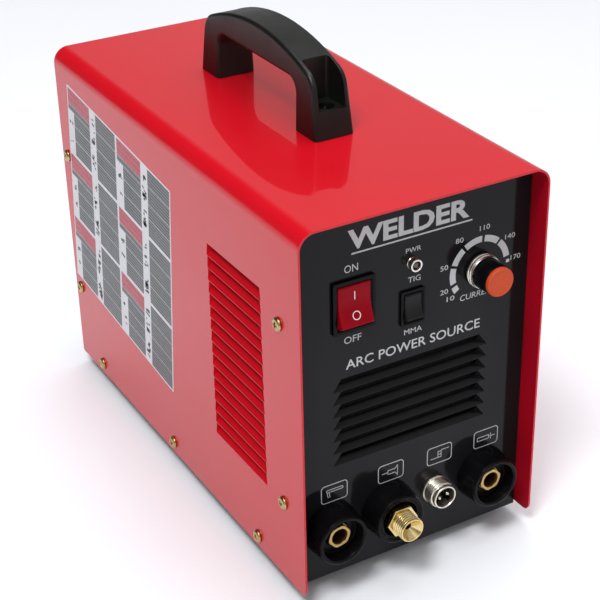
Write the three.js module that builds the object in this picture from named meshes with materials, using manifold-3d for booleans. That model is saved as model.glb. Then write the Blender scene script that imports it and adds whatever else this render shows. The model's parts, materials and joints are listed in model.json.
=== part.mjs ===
// A compact TIG and stick welding inverter in a folded steel case, with its controls, sockets and insides.
// Millimetres, +Z up. X runs to the right as seen from the front and Y from the front to the back.
// The origin is the middle of the outline, on the floor.
//
// Most of the model is placed in the case frame, whose Y is 0 at the hood's front edge and whose Z is 0 at
// its bottom edge. Pieces on the front and rear panels are turned about an axis that points out of the
// panel, and their profiles are written as [radius, height above the panel's outer face].

import * as THREE from 'three';
import { ConvexGeometry } from 'three/addons/geometries/ConvexGeometry.js';
import { mergeVertices } from 'three/addons/utils/BufferGeometryUtils.js';
import Module from 'manifold-3d';

const wasm = await Module();
wasm.setup();

// ---- Driving dimensions ----

const GAP = 0.3;                  // clearance between touching pieces
const SHEET = 1.2;                // steel sheet thickness
const CASE_W = 155;               // hood, outside width
const CASE_D = 318;               // hood, front edge to back edge
const CASE_H = 226;               // hood, bottom edge to top face
const BEND_R = 10;                // outside radius of the hood's two bends
const CORNER_R = 5;               // rounded lower front corners of the hood's sides
const REAR_CORNER_R = 1.5;        // their lower rear corners
const PANEL_Y = 13.9;             // front panel's outer face, behind the hood's front edge
const PANEL_BOTTOM = -2;          // lower edge of both panels and underside of the tray
const FLANGE = 16;                // panels' folded side flanges
const FOOT_H = 8;                 // tray's underside above the floor
const REAR_REACH = 24;            // furthest rear fitting, behind the rear panel
const FRONT_REACH = 27;           // torch fitting's tip, in front of the front panel

const HALF_W = CASE_W / 2;
const INNER_X = HALF_W - SHEET;               // inside face of the hood's sides
const PANEL_X = INNER_X - GAP;                // outside face of the panels' flanges
const REAR_Y = CASE_D;                        // rear panel's outer face
const TRAY_TOP = PANEL_BOTTOM + SHEET;
const CENTRE_Y = (PANEL_Y - FRONT_REACH + REAR_Y + REAR_REACH) / 2;

// Louvres: cut along the top edge and pressed inwards below the cut
const LOUVRE_PITCH = 7.9;
const LOUVRE_H = 7.4;
const LOUVRE_DEPTH = 3.4;
const LOUVRE_SLIT = 3.2;          // open height between a slat and the sheet above it
const SIDE_LOUVRES = { count: 16, y0: 41, y1: 103.8, zTop: 178 };
const FRONT_LOUVRES = { count: 7, halfWidth: 50.5, flare: 5.5, zTop: 126 };

// Pan head screws that hold the hood, as [y, z] on each side
const SCREW = { headR: 4, headH: 2.2, shankR: 1.9, holeR: 2.2, length: 8 };
const HOOD_SCREWS = [[22.4, 165.7], [22.4, 52], [55, 7.5], [168, 7.5], [281, 7.5],
  [309.5, 55], [309.5, 154]];

// Controls on the front panel, as centres [x, z]
const POWER_AT = [-37.6, 169.8];
const MODE_AT = [-0.6, 157.7];
const LAMP_AT = [-1, 184.2];
const KNOB_AT = [43.5, 168];
const POWER = { w: 26, h: 31, rim: 2.75, lip: 2, bodyDepth: 19, wall: 1.5 };
const MODE = { w: 15.4, h: 21.2, rim: 2.1, lip: 1.6, bodyDepth: 14, wall: 1.2 };
const ROCKER_TILT = 10;           // degrees either side of the middle
const ROCKER_PIVOT = 3;           // pivot's depth below the bezel's face

// Sockets on the front panel
const SOCKET_Z = 31;
const LEFT_SOCKET_X = -53;
const TORCH_SOCKET_X = -15.5;
const CONTROL_SOCKET_X = 17.6;
const RIGHT_SOCKET_X = 50;
const SOCKET = { baseR: 17, rimR: 15.2, recessR: 12.8, bossR: 14, height: 15.5, recess: 8.5 };
const TORCH_RECESS_R = 11.2;      // the torch socket's narrower recess
const CONTACT = { r: 7.2, boreR: 4.9, tip: 10.5, bore: 21 };

// Handle
const HANDLE = { y: 163.3, halfLength: 70, height: 48.6, width: 25.5, topWidth: 22.4,
  crownR: 157, cornerR: 13, lean: 8.5, openHalf: 46.8, openHeight: 29 };
const POCKET = { floor: 15.5, inner: 48.7, halfWidth: 8.5 };   // screw pocket in each leg
const HANDLE_SCREW_Y = 59.5;      // from the handle's middle

// Rear panel
const FAN = { z: 130, size: 120, depth: 25, openingR: 57.5, bladeR: 55, hubR: 19, bolt: 52.5 };
const GLAND_AT = [46, 36];
const GAS_AT = [-45, 31];
const EARTH_AT = [2, 30];

// ---- Shapes and solids ----

const RAD = Math.PI / 180;

// A closed mesh as a solid for cutting and joining
function solid(geometry) {
  const bare = geometry.clone();
  bare.deleteAttribute('normal');
  bare.deleteAttribute('uv');
  const merged = mergeVertices(bare, 1e-4);
  const vertProperties = new Float32Array(merged.attributes.position.array);
  const triVerts = new Uint32Array(merged.index.array);
  return new wasm.Manifold(new wasm.Mesh({ numProp: 3, vertProperties, triVerts }));
}

function geometryOf(body) {
  const result = body.getMesh();
  const geometry = new THREE.BufferGeometry();
  geometry.setAttribute('position', new THREE.BufferAttribute(new Float32Array(result.vertProperties), 3));
  geometry.setIndex(new THREE.BufferAttribute(new Uint32Array(result.triVerts), 1));
  const faceted = geometry.toNonIndexed();
  faceted.computeVertexNormals();
  return faceted;
}

const joined = (first, ...rest) => rest.reduce((body, next) => body.add(next), first);
const cut = (first, ...rest) => rest.reduce((body, next) => body.subtract(next), first);

function polygon(points) {
  return new THREE.Shape(points.map(([a, b]) => new THREE.Vector2(a, b)));
}

// Points along an arc, both ends included
function arc(x, y, r, from, to, steps) {
  const point = (angle) => [x + r * Math.cos(angle), y + r * Math.sin(angle)];
  return Array.from({ length: steps + 1 }, (_, i) => point(from + (to - from) * i / steps));
}

function extruded(shape, depth, curveSegments) {
  return new THREE.ExtrudeGeometry(shape, { depth, bevelEnabled: false, curveSegments });
}

// A shape in (y, z), from x0 to x1
function alongX(shape, x0, x1, curveSegments = 6) {
  const axes = new THREE.Matrix4().makeBasis(
    new THREE.Vector3(0, 1, 0), new THREE.Vector3(0, 0, 1), new THREE.Vector3(1, 0, 0));
  return solid(extruded(shape, x1 - x0, curveSegments).applyMatrix4(axes).translate(x0, 0, 0));
}

// A shape in (x, z), from y0 to y1
function alongY(shape, y0, y1, curveSegments = 6) {
  return solid(extruded(shape, y1 - y0, curveSegments).rotateX(90 * RAD).translate(0, y1, 0));
}

// A shape in (x, y), from z0 to z1
function alongZ(shape, z0, z1, curveSegments = 6) {
  return solid(extruded(shape, z1 - z0, curveSegments).translate(0, 0, z0));
}

function box(x0, x1, y0, y1, z0, z1) {
  const geometry = new THREE.BoxGeometry(x1 - x0, y1 - y0, z1 - z0);
  return solid(geometry.translate((x0 + x1) / 2, (y0 + y1) / 2, (z0 + z1) / 2));
}

function rodX(r, x0, x1, y, z, sides = 10) {
  const geometry = new THREE.CylinderGeometry(r, r, x1 - x0, sides).rotateZ(90 * RAD);
  return solid(geometry.translate((x0 + x1) / 2, y, z));
}

function rodY(r, y0, y1, x, z, sides = 20) {
  return solid(new THREE.CylinderGeometry(r, r, y1 - y0, sides).translate(x, (y0 + y1) / 2, z));
}

function rodZ(r, z0, z1, x, y, sides = 12) {
  const geometry = new THREE.CylinderGeometry(r, r, z1 - z0, sides).rotateX(90 * RAD);
  return solid(geometry.translate(x, y, (z0 + z1) / 2));
}

// A profile of [radius, height] points, turned about the Y axis of three.js
function turned(profile, sides) {
  const onAxis = profile[0][0] === 0 && profile.at(-1)[0] === 0;
  const loop = onAxis ? profile : [...profile, profile[0]];
  return new THREE.LatheGeometry(loop.map(([r, h]) => new THREE.Vector2(r, h)), sides);
}

// Turned pieces, on the front panel (heights run towards the user), on the rear panel (heights run
// backwards) and upright
const onFront = (profile, sides = 16) => solid(turned(profile, sides).rotateX(180 * RAD));
const onRear = (profile, sides = 16) => solid(turned(profile, sides));
const upright = (profile, sides = 16) => solid(turned(profile, sides).rotateX(90 * RAD));

function hexagon(acrossCorners) {
  const r = acrossCorners / 2;
  const corner = (i) => [r * Math.cos(i * 60 * RAD), r * Math.sin(i * 60 * RAD)];
  return polygon([0, 1, 2, 3, 4, 5].map(corner));
}

function rectangle(w, h, x = 0, z = 0) {
  const [x0, x1, z0, z1] = [x - w / 2, x + w / 2, z - h / 2, z + h / 2];
  return polygon([[x0, z0], [x1, z0], [x1, z1], [x0, z1]]);
}

// The case's arch seen from the front, between two rounded top corners
function arch(halfWidth, bottom, top, radius) {
  const shape = new THREE.Shape();
  shape.moveTo(-halfWidth, bottom);
  shape.lineTo(halfWidth, bottom);
  shape.lineTo(halfWidth, top - radius);
  shape.absarc(halfWidth - radius, top - radius, radius, 0, 90 * RAD, false);
  shape.lineTo(-halfWidth + radius, top);
  shape.absarc(-halfWidth + radius, top - radius, radius, 90 * RAD, 180 * RAD, false);
  return shape;
}

// A louvre's wedge: its fold is a line of half length a at the sheet's face, and its cut edge, of half
// length b, is pushed in by depth at height h. `back` extends it in front of the face.
function wedge(a, b, depth, h, back) {
  const points = [[-a, 0, 0], [a, 0, 0], [-b, depth, h], [b, depth, h], [-b, 0, h], [b, 0, h],
    [-a, -back, 0], [a, -back, 0], [-b, -back, h], [b, -back, h]];
  return new ConvexGeometry(points.map(([x, y, z]) => new THREE.Vector3(x, y, z)));
}

const pressedOut = (a, b) => wedge(a + SHEET, b + SHEET, LOUVRE_DEPTH + SHEET, LOUVRE_H, 0);
const pressedIn = (a, b) => wedge(a, b, LOUVRE_DEPTH, LOUVRE_H, 1);

// The open slit above a louvre's slat, across a half length b.
function slit(b) {
  const shape = new THREE.BoxGeometry(2 * b, LOUVRE_DEPTH + SHEET + 2, LOUVRE_SLIT);
  shape.translate(0, (LOUVRE_DEPTH + SHEET) / 2, LOUVRE_H - LOUVRE_SLIT / 2);
  return shape;
}

// ---- The object ----

const machine = new THREE.Group();
machine.position.set(0, -CENTRE_Y, FOOT_H - PANEL_BOTTOM);

function material(color, roughness, metalness = 0) {
  return new THREE.MeshStandardMaterial({ color, roughness, metalness });
}

function add(name, body, look, parent = machine) {
  const mesh = new THREE.Mesh(geometryOf(body), look);
  mesh.name = name;
  parent.add(mesh);
  return mesh;
}

// A group at a point of the front or rear panel
function station([x, z], y) {
  const group = new THREE.Group();
  group.position.set(x, y, z);
  machine.add(group);
  return group;
}

const redPaint = () => material('#d4202f', 0.3);
const blackPaint = () => material('#1d1d1f', 0.4);
const blackPlastic = () => material('#161617', 0.5);
const zinc = () => material('#c8b070', 0.35, 1);
const brass = () => material('#c9a24a', 0.25, 1);
const nickel = () => material('#cfcfcb', 0.2, 1);
const rubber = () => material('#141414', 0.8);
const aluminium = () => material('#b4b6b8', 0.4, 1);
const boardGreen = () => material('#1f5a34', 0.5);
const copper = () => material('#b5673a', 0.35, 1);
const ferrite = () => material('#3a3a3c', 0.7);

function screwHoles() {
  return HOOD_SCREWS.map(([y, z]) => rodX(SCREW.holeR, -HALF_W - 1, HALF_W + 1, y, z, 8));
}

function makeHood() {
  const outside = arch(HALF_W, 0, CASE_H, BEND_R);
  const inside = arch(INNER_X, -1, CASE_H - SHEET, BEND_R - SHEET);
  const side = new THREE.Shape();
  side.moveTo(CORNER_R, 0);
  side.lineTo(CASE_D - REAR_CORNER_R, 0);
  side.absarc(CASE_D - REAR_CORNER_R, REAR_CORNER_R, REAR_CORNER_R, -90 * RAD, 0, false);
  side.lineTo(CASE_D, CASE_H);
  side.lineTo(0, CASE_H);
  side.absarc(CORNER_R, CORNER_R, CORNER_R, 180 * RAD, 270 * RAD, false);
  const shell = alongY(outside, 0, CASE_D).subtract(alongY(inside, -1, CASE_D + 1));
  let body = shell.intersect(alongX(side, -HALF_W - 1, HALF_W + 1, 4));

  const half = (SIDE_LOUVRES.y1 - SIDE_LOUVRES.y0) / 2;
  const middle = (SIDE_LOUVRES.y1 + SIDE_LOUVRES.y0) / 2;
  for (const side of [-1, 1]) {
    for (let i = 0; i < SIDE_LOUVRES.count; i += 1) {
      const bottom = SIDE_LOUVRES.zTop - i * LOUVRE_PITCH - LOUVRE_H;
      const place = (geometry) => solid(geometry.rotateZ(side * 90 * RAD)
        .translate(side * HALF_W, middle, bottom));
      body = body.add(place(pressedOut(half, half - 1))).subtract(place(pressedIn(half, half - 1)));
      body = body.subtract(place(slit(half - 1)));
    }
  }
  const handleHoles = [-1, 1].map((end) => (
    rodZ(2.9, CASE_H - 5, CASE_H + 1, 0, HANDLE.y + end * HANDLE_SCREW_Y)));
  add('hood', cut(body, ...screwHoles(), ...handleHoles), redPaint());
}

// A folded panel: a face with two side flanges and a bottom tab. `face` is its outer face and `inward`
// is +1 where the case lies behind it and -1 where the case lies in front of it.
function foldedPanel(face, inward) {
  const at = (depth) => face + inward * depth;
  const span = (d0, d1) => [Math.min(at(d0), at(d1)), Math.max(at(d0), at(d1))];
  const [f0, f1] = span(0, FLANGE);
  const [h0, h1] = span(SHEET, FLANGE + 1);
  const [t0, t1] = span(SHEET / 2, FLANGE - 2);
  const outline = arch(PANEL_X, PANEL_BOTTOM, CASE_H - SHEET - GAP, BEND_R - SHEET);
  const hollow = rectangle(2 * (PANEL_X - SHEET), CASE_H + 20, 0, CASE_H / 2);
  const roof = box(-PANEL_X - 1, PANEL_X + 1, h0, h1, CASE_H - BEND_R - SHEET, CASE_H);
  const tab = box(-58, 58, t0, t1, TRAY_TOP + GAP, TRAY_TOP + GAP + SHEET);
  return cut(alongY(outline, f0, f1), alongY(hollow, h0, h1), roof, ...screwHoles()).add(tab);
}

function makeFrontPanel() {
  let body = foldedPanel(PANEL_Y, 1);
  const { count, halfWidth, flare, zTop } = FRONT_LOUVRES;
  for (let i = 0; i < count; i += 1) {
    const bottom = zTop - i * LOUVRE_PITCH - LOUVRE_H;
    const place = (geometry) => solid(geometry.translate(0, PANEL_Y, bottom));
    body = body.add(place(pressedOut(halfWidth, halfWidth - flare)));
    body = body.subtract(place(pressedIn(halfWidth, halfWidth - flare)));
    body = body.subtract(place(slit(halfWidth - flare)));
  }
  const [y0, y1] = [PANEL_Y - 1, PANEL_Y + SHEET + 1];
  const hole = (r, x, z) => rodY(r, y0, y1, x, z, 16);
  const opening = (size, [x, z]) => alongY(rectangle(...cutOut(size), x, z), y0, y1);
  add('front_panel', cut(body,
    opening(POWER, POWER_AT), opening(MODE, MODE_AT),
    hole(3.2, ...LAMP_AT), hole(4.5, ...KNOB_AT),
    ...[LEFT_SOCKET_X, TORCH_SOCKET_X, RIGHT_SOCKET_X].map((x) => hole(SOCKET.bossR + GAP, x, SOCKET_Z)),
    hole(7.5, CONTROL_SOCKET_X, SOCKET_Z)), blackPaint());
}

function makeRearPanel() {
  const [y0, y1] = [REAR_Y - SHEET - 1, REAR_Y + 1];
  const bolts = [[-1, -1], [1, -1], [-1, 1], [1, 1]].map(([a, b]) => (
    rodY(2.2, y0, y1, a * FAN.bolt, FAN.z + b * FAN.bolt, 8)));
  add('rear_panel', cut(foldedPanel(REAR_Y, -1), rodY(FAN.openingR, y0, y1, 0, FAN.z, 28),
    rodY(10.3, y0, y1, ...GLAND_AT, 16), rodY(6.5, y0, y1, ...GAS_AT, 14),
    rodY(3.3, y0, y1, ...EARTH_AT, 12), ...bolts), blackPaint());
}

const FEET = [[-50, 42], [50, 42], [-50, 276], [50, 276]];

function makeTray() {
  const flangeTop = 17;
  const y0 = PANEL_Y + SHEET + GAP;
  const y1 = REAR_Y - SHEET - GAP;
  const floor = box(-PANEL_X + SHEET + GAP, PANEL_X - SHEET - GAP, y0, y1, PANEL_BOTTOM, TRAY_TOP);
  const u = polygon([[-PANEL_X, PANEL_BOTTOM], [PANEL_X, PANEL_BOTTOM], [PANEL_X, flangeTop],
    [PANEL_X - SHEET, flangeTop], [PANEL_X - SHEET, TRAY_TOP], [-PANEL_X + SHEET, TRAY_TOP],
    [-PANEL_X + SHEET, flangeTop], [-PANEL_X, flangeTop]]);
  const middle = alongY(u, PANEL_Y + FLANGE + 1, REAR_Y - FLANGE - 1);
  const holes = FEET.map(([x, y]) => rodZ(3.3, PANEL_BOTTOM - 1, TRAY_TOP + 1, x, y));
  add('base_tray', cut(floor.add(middle), ...screwHoles(), ...holes), blackPaint());
}

// Rubber feet, pulled through the tray by a barbed stem
function makeFeet() {
  FEET.forEach(([x, y], i) => {
    const floor = PANEL_BOTTOM - FOOT_H;
    const profile = [[0, floor], [8.5, floor], [9.5, floor + 1], [9, PANEL_BOTTOM - GAP],
      [3, PANEL_BOTTOM - GAP], [3, TRAY_TOP + GAP], [4.2, TRAY_TOP + 1.2], [2.5, TRAY_TOP + 5],
      [0, TRAY_TOP + 5]];
    const mesh = add(`foot_${i + 1}`, upright(profile, 12), rubber());
    mesh.position.set(x, y, 0);
  });
}

function makeHoodScrews() {
  const { headR, headH, shankR, length } = SCREW;
  const profile = [[0, -length], [shankR, -length], [shankR, GAP], [headR, GAP], [headR, headH * 0.6],
    [headR * 0.62, headH], [0, headH]];
  let number = 0;
  for (const side of [-1, 1]) {
    for (const [y, z] of HOOD_SCREWS) {
      number += 1;
      const name = `hood_screw_${String(number).padStart(2, '0')}`;
      const mesh = add(name, onRear(profile, 10), zinc());
      mesh.rotation.z = -side * 90 * RAD;
      mesh.position.set(side * HALF_W, y, z);
    }
  }
}

// The handle's side outline: two legs that lean in, corner arcs and a shallow crown. Each corner arc
// touches its leg and the crown, which gives the distance of its centre along the leg.
function handleOutline(bottom) {
  const { halfLength, height, crownR, cornerR } = HANDLE;
  const lean = HANDLE.lean * RAD;
  const up = new THREE.Vector2(-Math.sin(lean), Math.cos(lean));
  const out = new THREE.Vector2(Math.cos(lean), Math.sin(lean));
  const crown = new THREE.Vector2(0, height - crownR);
  const start = new THREE.Vector2(halfLength, 0).addScaledVector(out, -cornerR);
  const q = start.clone().sub(crown);
  const along = q.dot(up);
  const reach = -along + Math.sqrt(along ** 2 - q.lengthSq() + (crownR - cornerR) ** 2);
  const corner = start.addScaledVector(up, reach);
  const tangent = Math.atan2(corner.y - crown.y, corner.x);
  const foot = halfLength - bottom * Math.tan(lean);
  const right = [[foot, bottom], ...arc(corner.x, corner.y, cornerR, lean, tangent, 5),
    ...arc(0, crown.y, crownR, tangent, 90 * RAD, 4).slice(1)];
  const left = right.slice(0, -1).reverse().map(([y, z]) => [-y, z]);
  return polygon([...right, ...left]);
}

function makeHandle() {
  const { width, topWidth, height, openHalf, openHeight } = HANDLE;
  const bevel = 3;
  const extrusion = new THREE.ExtrudeGeometry(handleOutline(-10), {
    depth: width - 2 * bevel, bevelEnabled: true, bevelThickness: bevel, bevelSize: bevel,
    bevelOffset: -bevel, bevelSegments: 2 });
  const axes = new THREE.Matrix4().makeBasis(
    new THREE.Vector3(0, 1, 0), new THREE.Vector3(0, 0, 1), new THREE.Vector3(1, 0, 0));
  extrusion.applyMatrix4(axes).translate(-width / 2 + bevel, 0, 0);
  const position = extrusion.attributes.position;
  for (let i = 0; i < position.count; i += 1) {
    const draft = 1 - (1 - topWidth / width) * position.getZ(i) / height;
    position.setX(i, position.getX(i) * draft);
  }
  const bow = solid(extrusion);
  const opening = alongX(arch(openHalf, -20, openHeight, 8), -width, width, 5);
  let body = cut(bow, opening, box(-width, width, -100, 100, -20, GAP));
  for (const end of [-1, 1]) {
    const y = end * HANDLE_SCREW_Y;
    const ends = [end * POCKET.inner, end * (HANDLE.halfLength + 3)];
    const pocket = box(-POCKET.halfWidth, POCKET.halfWidth, Math.min(...ends), Math.max(...ends),
      POCKET.floor, height + 1);
    const counterbore = POCKET.floor - 4;
    body = cut(body, pocket, rodZ(5.2, counterbore, height, 0, y, 14), rodZ(2.9, -1, height, 0, y));
    const screw = add(end < 0 ? 'handle_screw_front' : 'handle_screw_rear', upright([
      [0, -8], [2.5, -8], [2.5, counterbore + GAP], [4.6, counterbore + GAP], [4.6, counterbore + 2],
      [3.2, counterbore + 3.2], [0, counterbore + 3.2]], 10), rubber());
    screw.position.set(0, HANDLE.y + y, CASE_H);
  }
  const handle = add('handle', body, blackPlastic());
  handle.position.set(0, HANDLE.y, CASE_H);
}

// ---- Rocker switches ----

// Width and height of the hole that a switch of this size snaps into
function cutOut({ w, h, rim }) {
  return [w - rim + 0.4, h - rim + 0.4];
}

function makeRockerSwitch(name, at, size, bodyLook, rockerLook) {
  const { w, h, rim, lip, bodyDepth, wall } = size;
  const [holeW, holeH] = cutOut(size);
  const openW = w - 2 * rim;
  const openH = h - 2 * rim;
  const place = station(at, PANEL_Y);
  const bezel = alongY(rectangle(w, h), -lip, -GAP);
  const body = alongY(rectangle(holeW - 2 * GAP, holeH - 2 * GAP), -GAP - 0.1, bodyDepth);
  const cavity = alongY(rectangle(openW, openH), -lip - 1, bodyDepth - wall - 2);
  const tabs = [-1, 1].map((side) => (
    box(-3, 3, bodyDepth - 0.5, bodyDepth + 8, side * h / 4 - 0.4, side * h / 4 + 0.4)));
  add(`${name}_housing`, joined(bezel.add(body).subtract(cavity), ...tabs), bodyLook, place);

  // Two flat faces meet at a shallow V. The ends are arcs about the pivot, so they clear the opening.
  const radius = openH / 2 - GAP;
  const tilt = ROCKER_TILT * RAD;
  const faceAtCentre = ROCKER_PIVOT + 0.3;
  const reach = (v) => faceAtCentre + v * Math.tan(tilt);
  let edge = radius;
  for (let i = 0; i < 8; i += 1) {
    edge = Math.sqrt(radius ** 2 - reach(edge) ** 2);
  }
  const startAngle = Math.atan2(edge, reach(edge));
  const endAngle = 112 * RAD;
  const shape = new THREE.Shape();
  shape.moveTo(-faceAtCentre, 0);
  shape.lineTo(-reach(edge), -edge);
  shape.absarc(0, 0, radius, 180 * RAD + startAngle, 180 * RAD + endAngle, false);
  shape.absarc(0, 0, radius, 180 * RAD - endAngle, 180 * RAD - startAngle, false);
  const pivot = new THREE.Group();
  pivot.position.set(0, -lip + ROCKER_PIVOT, 0);
  pivot.rotation.x = -tilt;
  place.add(pivot);
  add(`${name}_rocker`, alongX(shape, -openW / 2 + GAP, openW / 2 - GAP, 5), rockerLook, pivot);
}

// ---- Lamp and current control ----

function makeLamp() {
  const place = station(LAMP_AT, PANEL_Y);
  const holder = [[2.5, -8], [2.9, -8], [2.9, GAP], [3.6, GAP], [3.6, 4], [3.1, 5], [2.5, 5]];
  add('lamp_holder', onFront(holder, 14), nickel(), place);
  add('lamp_lens', onFront([[0, -6], [2.2, -6], [2.2, 3.6], [1.4, 4.5], [0, 4.8]], 12),
    material('#2c0a0c', 0.15), place);
}

function makeCurrentControl() {
  const place = station(KNOB_AT, PANEL_Y);
  const behind = -SHEET - GAP;
  add('potentiometer', onFront([[0, -18], [12, -18], [12, behind], [4.2, behind], [4.2, GAP], [6, GAP],
    [6, 2.2], [4.2, 2.2], [4.2, 4], [3.3, 4], [3.3, -12], [0, -12]]), aluminium(), place);
  add('potentiometer_shaft', onFront([[0, -11.6], [3, -11.6], [3, 15.3], [0, 15.3]], 16), nickel(), place);
  add('knob_body', onFront([[0, 15.7], [3.3, 15.7], [3.3, 4.6], [7, 4.6], [7, 1.2], [8.5, 1.2],
    [8.5, 6.6], [9.3, 6.6], [8.7, 16.7], [0, 16.7]], 20), blackPlastic(), place);
  const ring = onFront([[8.8, 1.2], [10, 1.2], [10, 5.6], [9.6, 6.3], [8.8, 6.3]], 20);
  add('knob_ring', ring, nickel(), place);
  add('knob_cap', onFront([[0, 17], [8.7, 17], [8.9, 17.7], [8.7, 19.1], [8, 19.7], [0, 19.7]], 20),
    material('#e8642c', 0.45), place);
}

// ---- Sockets ----

const BOSS_END = -14;             // back of the sockets' bosses, behind the panel's face

function socketHousing(name, x, recessR = SOCKET.recessR) {
  const { baseR, rimR, bossR, height, recess } = SOCKET;
  const bore = CONTACT.r + GAP;
  const floor = height - recess;
  add(name, onFront([[bore, BOSS_END], [bossR, BOSS_END], [bossR, GAP], [baseR, GAP], [baseR, 1],
    [rimR + 0.3, height - 1.5], [rimR - 0.4, height], [recessR, height], [recessR - 0.4, floor],
    [bore, floor]], 20), blackPlastic(), station([x, SOCKET_Z], PANEL_Y));
}

function makeCableSocket(side, x) {
  const { r, boreR, tip, bore } = CONTACT;
  const nut = BOSS_END - GAP;
  socketHousing(`socket_housing_${side}`, x);
  add(`socket_contact_${side}`, onFront([[0, -30], [5, -30], [5, nut - 5], [10, nut - 5], [10, nut],
    [r, nut], [r, tip], [boreR, tip], [boreR, tip - bore], [0, tip - bore]]), brass(),
  station([x, SOCKET_Z], PANEL_Y));
}

function makeTorchSocket() {
  socketHousing('torch_socket_housing', TORCH_SOCKET_X, TORCH_RECESS_R);
  const nutAt = BOSS_END - GAP;
  const hexTop = SOCKET.height + 2;
  const tube = onFront([[3.2, -28], [5, -28], [5, nutAt - 5], [10, nutAt - 5], [10, nutAt], [6.8, nutAt],
    [6.8, hexTop - 1], [7.4, hexTop], [7.4, FRONT_REACH - 0.8], [6.6, FRONT_REACH],
    [5.6, FRONT_REACH], [3.2, FRONT_REACH - 6]]);
  const nut = alongY(hexagon(20.2), -hexTop, -SOCKET.height + 7).subtract(rodY(5.5, -30, 0, 0, 0));
  add('torch_gas_fitting', tube.add(nut), brass(), station([TORCH_SOCKET_X, SOCKET_Z], PANEL_Y));
}

const CONTROL_RIM = 11;           // control connector's rim, in front of the panel

function makeControlSocket() {
  const place = station([CONTROL_SOCKET_X, SOCKET_Z], PANEL_Y);
  const shell = onFront([[6.3, -12], [7.2, -12], [7.2, GAP], [8.9, GAP], [8.9, 1.6], [8.5, 1.6],
    [8.5, 7.6], [8.2, 8.2], [7.4, 8.6], [7.4, CONTROL_RIM], [6.3, CONTROL_RIM]]);
  add('control_socket_shell', shell, nickel(), place);
  const pins = [-1, 1].map((side) => (
    rodY(1, -CONTROL_RIM + 1.3, -1, side * 2.7, side * 0.65, 8)));
  const plug = onFront([[0, -14], [6, -14], [6, CONTROL_RIM - 7], [0, CONTROL_RIM - 7]]);
  add('control_socket_insert', joined(plug, ...pins), blackPlastic(), place);
}

// ---- Rear fittings ----

function makeFan() {
  const half = FAN.size / 2;
  const y1 = REAR_Y - SHEET - GAP;
  const y0 = y1 - FAN.depth;
  const bolts = [[-1, -1], [1, -1], [-1, 1], [1, 1]].map(([a, b]) => (
    rodY(2.2, y0 - 1, y1 + 1, a * FAN.bolt, b * FAN.bolt, 8)));
  const place = station([0, FAN.z], 0);
  const duct = rodY(FAN.openingR, y0 - 1, y1 + 1, 0, 0, 28);
  const frame = cut(box(-half, half, y0, y1, -half, half), duct, ...bolts);
  const struts = [45, 135].map((angle) => (
    solid(new THREE.BoxGeometry(2 * FAN.openingR + 2, 3, 4).rotateY(angle * RAD)
      .translate(0, y0 + 1.5, 0))));
  const motor = rodY(20, y0, y0 + 3, 0, 0);
  const pin = rodY(1.6, y0 + 2, y1 - 6, 0, 0, 10);
  add('fan_frame', joined(frame, ...struts, motor, pin), blackPlastic(), place);

  const front = y0 + 4;
  const back = y1 - 1.5;
  const blades = [0, 1, 2, 3, 4, 5, 6].map((i) => (
    solid(new THREE.BoxGeometry(FAN.bladeR - FAN.hubR + 3, 1.6, 24).rotateX(48 * RAD)
      .translate((FAN.bladeR + FAN.hubR - 3) / 2, (front + back) / 2, 0).rotateY(i * 360 / 7 * RAD))));
  const sweep = rodY(FAN.bladeR, front, back, 0, 0, 28);
  const hub = rodY(FAN.hubR, front, back, 0, 0, 24);
  const rotor = joined(hub, ...blades).intersect(sweep);
  add('fan_rotor', rotor.subtract(rodY(2, front - 1, y1 - 5.4, 0, 0, 10)), blackPlastic(), place);
}

// Round wire guard: rings joined by crossed spokes that end in screw eyes
function makeFanGuard() {
  const wire = 1.1;
  const ringY = REAR_Y + GAP + wire + 1.4;
  const ring = (r) => (
    solid(new THREE.TorusGeometry(r, wire, 4, 20).rotateX(90 * RAD).translate(0, ringY, 0)));
  const spokeY = REAR_Y + GAP + wire;
  const spokes = [45, 135].map((angle) => (
    solid(new THREE.BoxGeometry(2 * (FAN.bolt * Math.SQRT2 - 3), 2 * wire, 2 * wire).rotateY(angle * RAD)
      .translate(0, spokeY, 0))));
  const eyes = [[-1, -1], [1, -1], [-1, 1], [1, 1]].map(([a, b]) => (
    cut(rodY(4.2, spokeY - wire, spokeY + wire, a * FAN.bolt, b * FAN.bolt, 12),
      rodY(2.2, spokeY - 2, spokeY + 2, a * FAN.bolt, b * FAN.bolt, 8))));
  add('fan_guard', joined(ring(13), ring(27), ring(41), ring(55), ...spokes, ...eyes), nickel(),
    station([0, FAN.z], 0));
}

function makeCableGland() {
  const inside = -SHEET - GAP;
  const tube = onRear([[6.2, -12], [9.9, -12], [9.9, inside - 5], [13, inside - 5], [13, inside],
    [9.9, inside], [9.9, GAP], [12, GAP], [12, 6], [11.4, 8], [11.4, 17], [8.5, REAR_REACH],
    [6.2, REAR_REACH]]);
  const hex = alongY(hexagon(27), GAP, 6).subtract(rodY(11, -1, 10, 0, 0));
  add('cable_gland', tube.add(hex), blackPlastic(), station(GLAND_AT, REAR_Y));
}

function makeGasInlet() {
  const inside = -SHEET - GAP;
  const profile = [[3.1, -7], [6, -7], [6, inside - 3], [8.5, inside - 3], [8.5, inside], [6, inside],
    [6, GAP], [8.4, GAP], [8.4, 6], [4.6, 6.5]];
  for (let i = 0; i < 3; i += 1) {
    profile.push([5.4, 8.5 + 4 * i], [4.5, 12.2 + 4 * i]);
  }
  profile.push([4.3, 22], [3.1, 22]);
  add('gas_inlet', onRear(profile, 14), brass(), station(GAS_AT, REAR_Y));
}

function makeEarthStud() {
  const inside = -SHEET - GAP;
  const bolt = onRear([[0, -12], [3, -12], [3, 12], [0, 12]], 12);
  const nut = alongY(hexagon(11.5), inside - 5, inside).add(alongY(hexagon(11.5), GAP, 5));
  add('earth_stud', bolt.add(nut), nickel(), station(EARTH_AT, REAR_Y));
}

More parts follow.
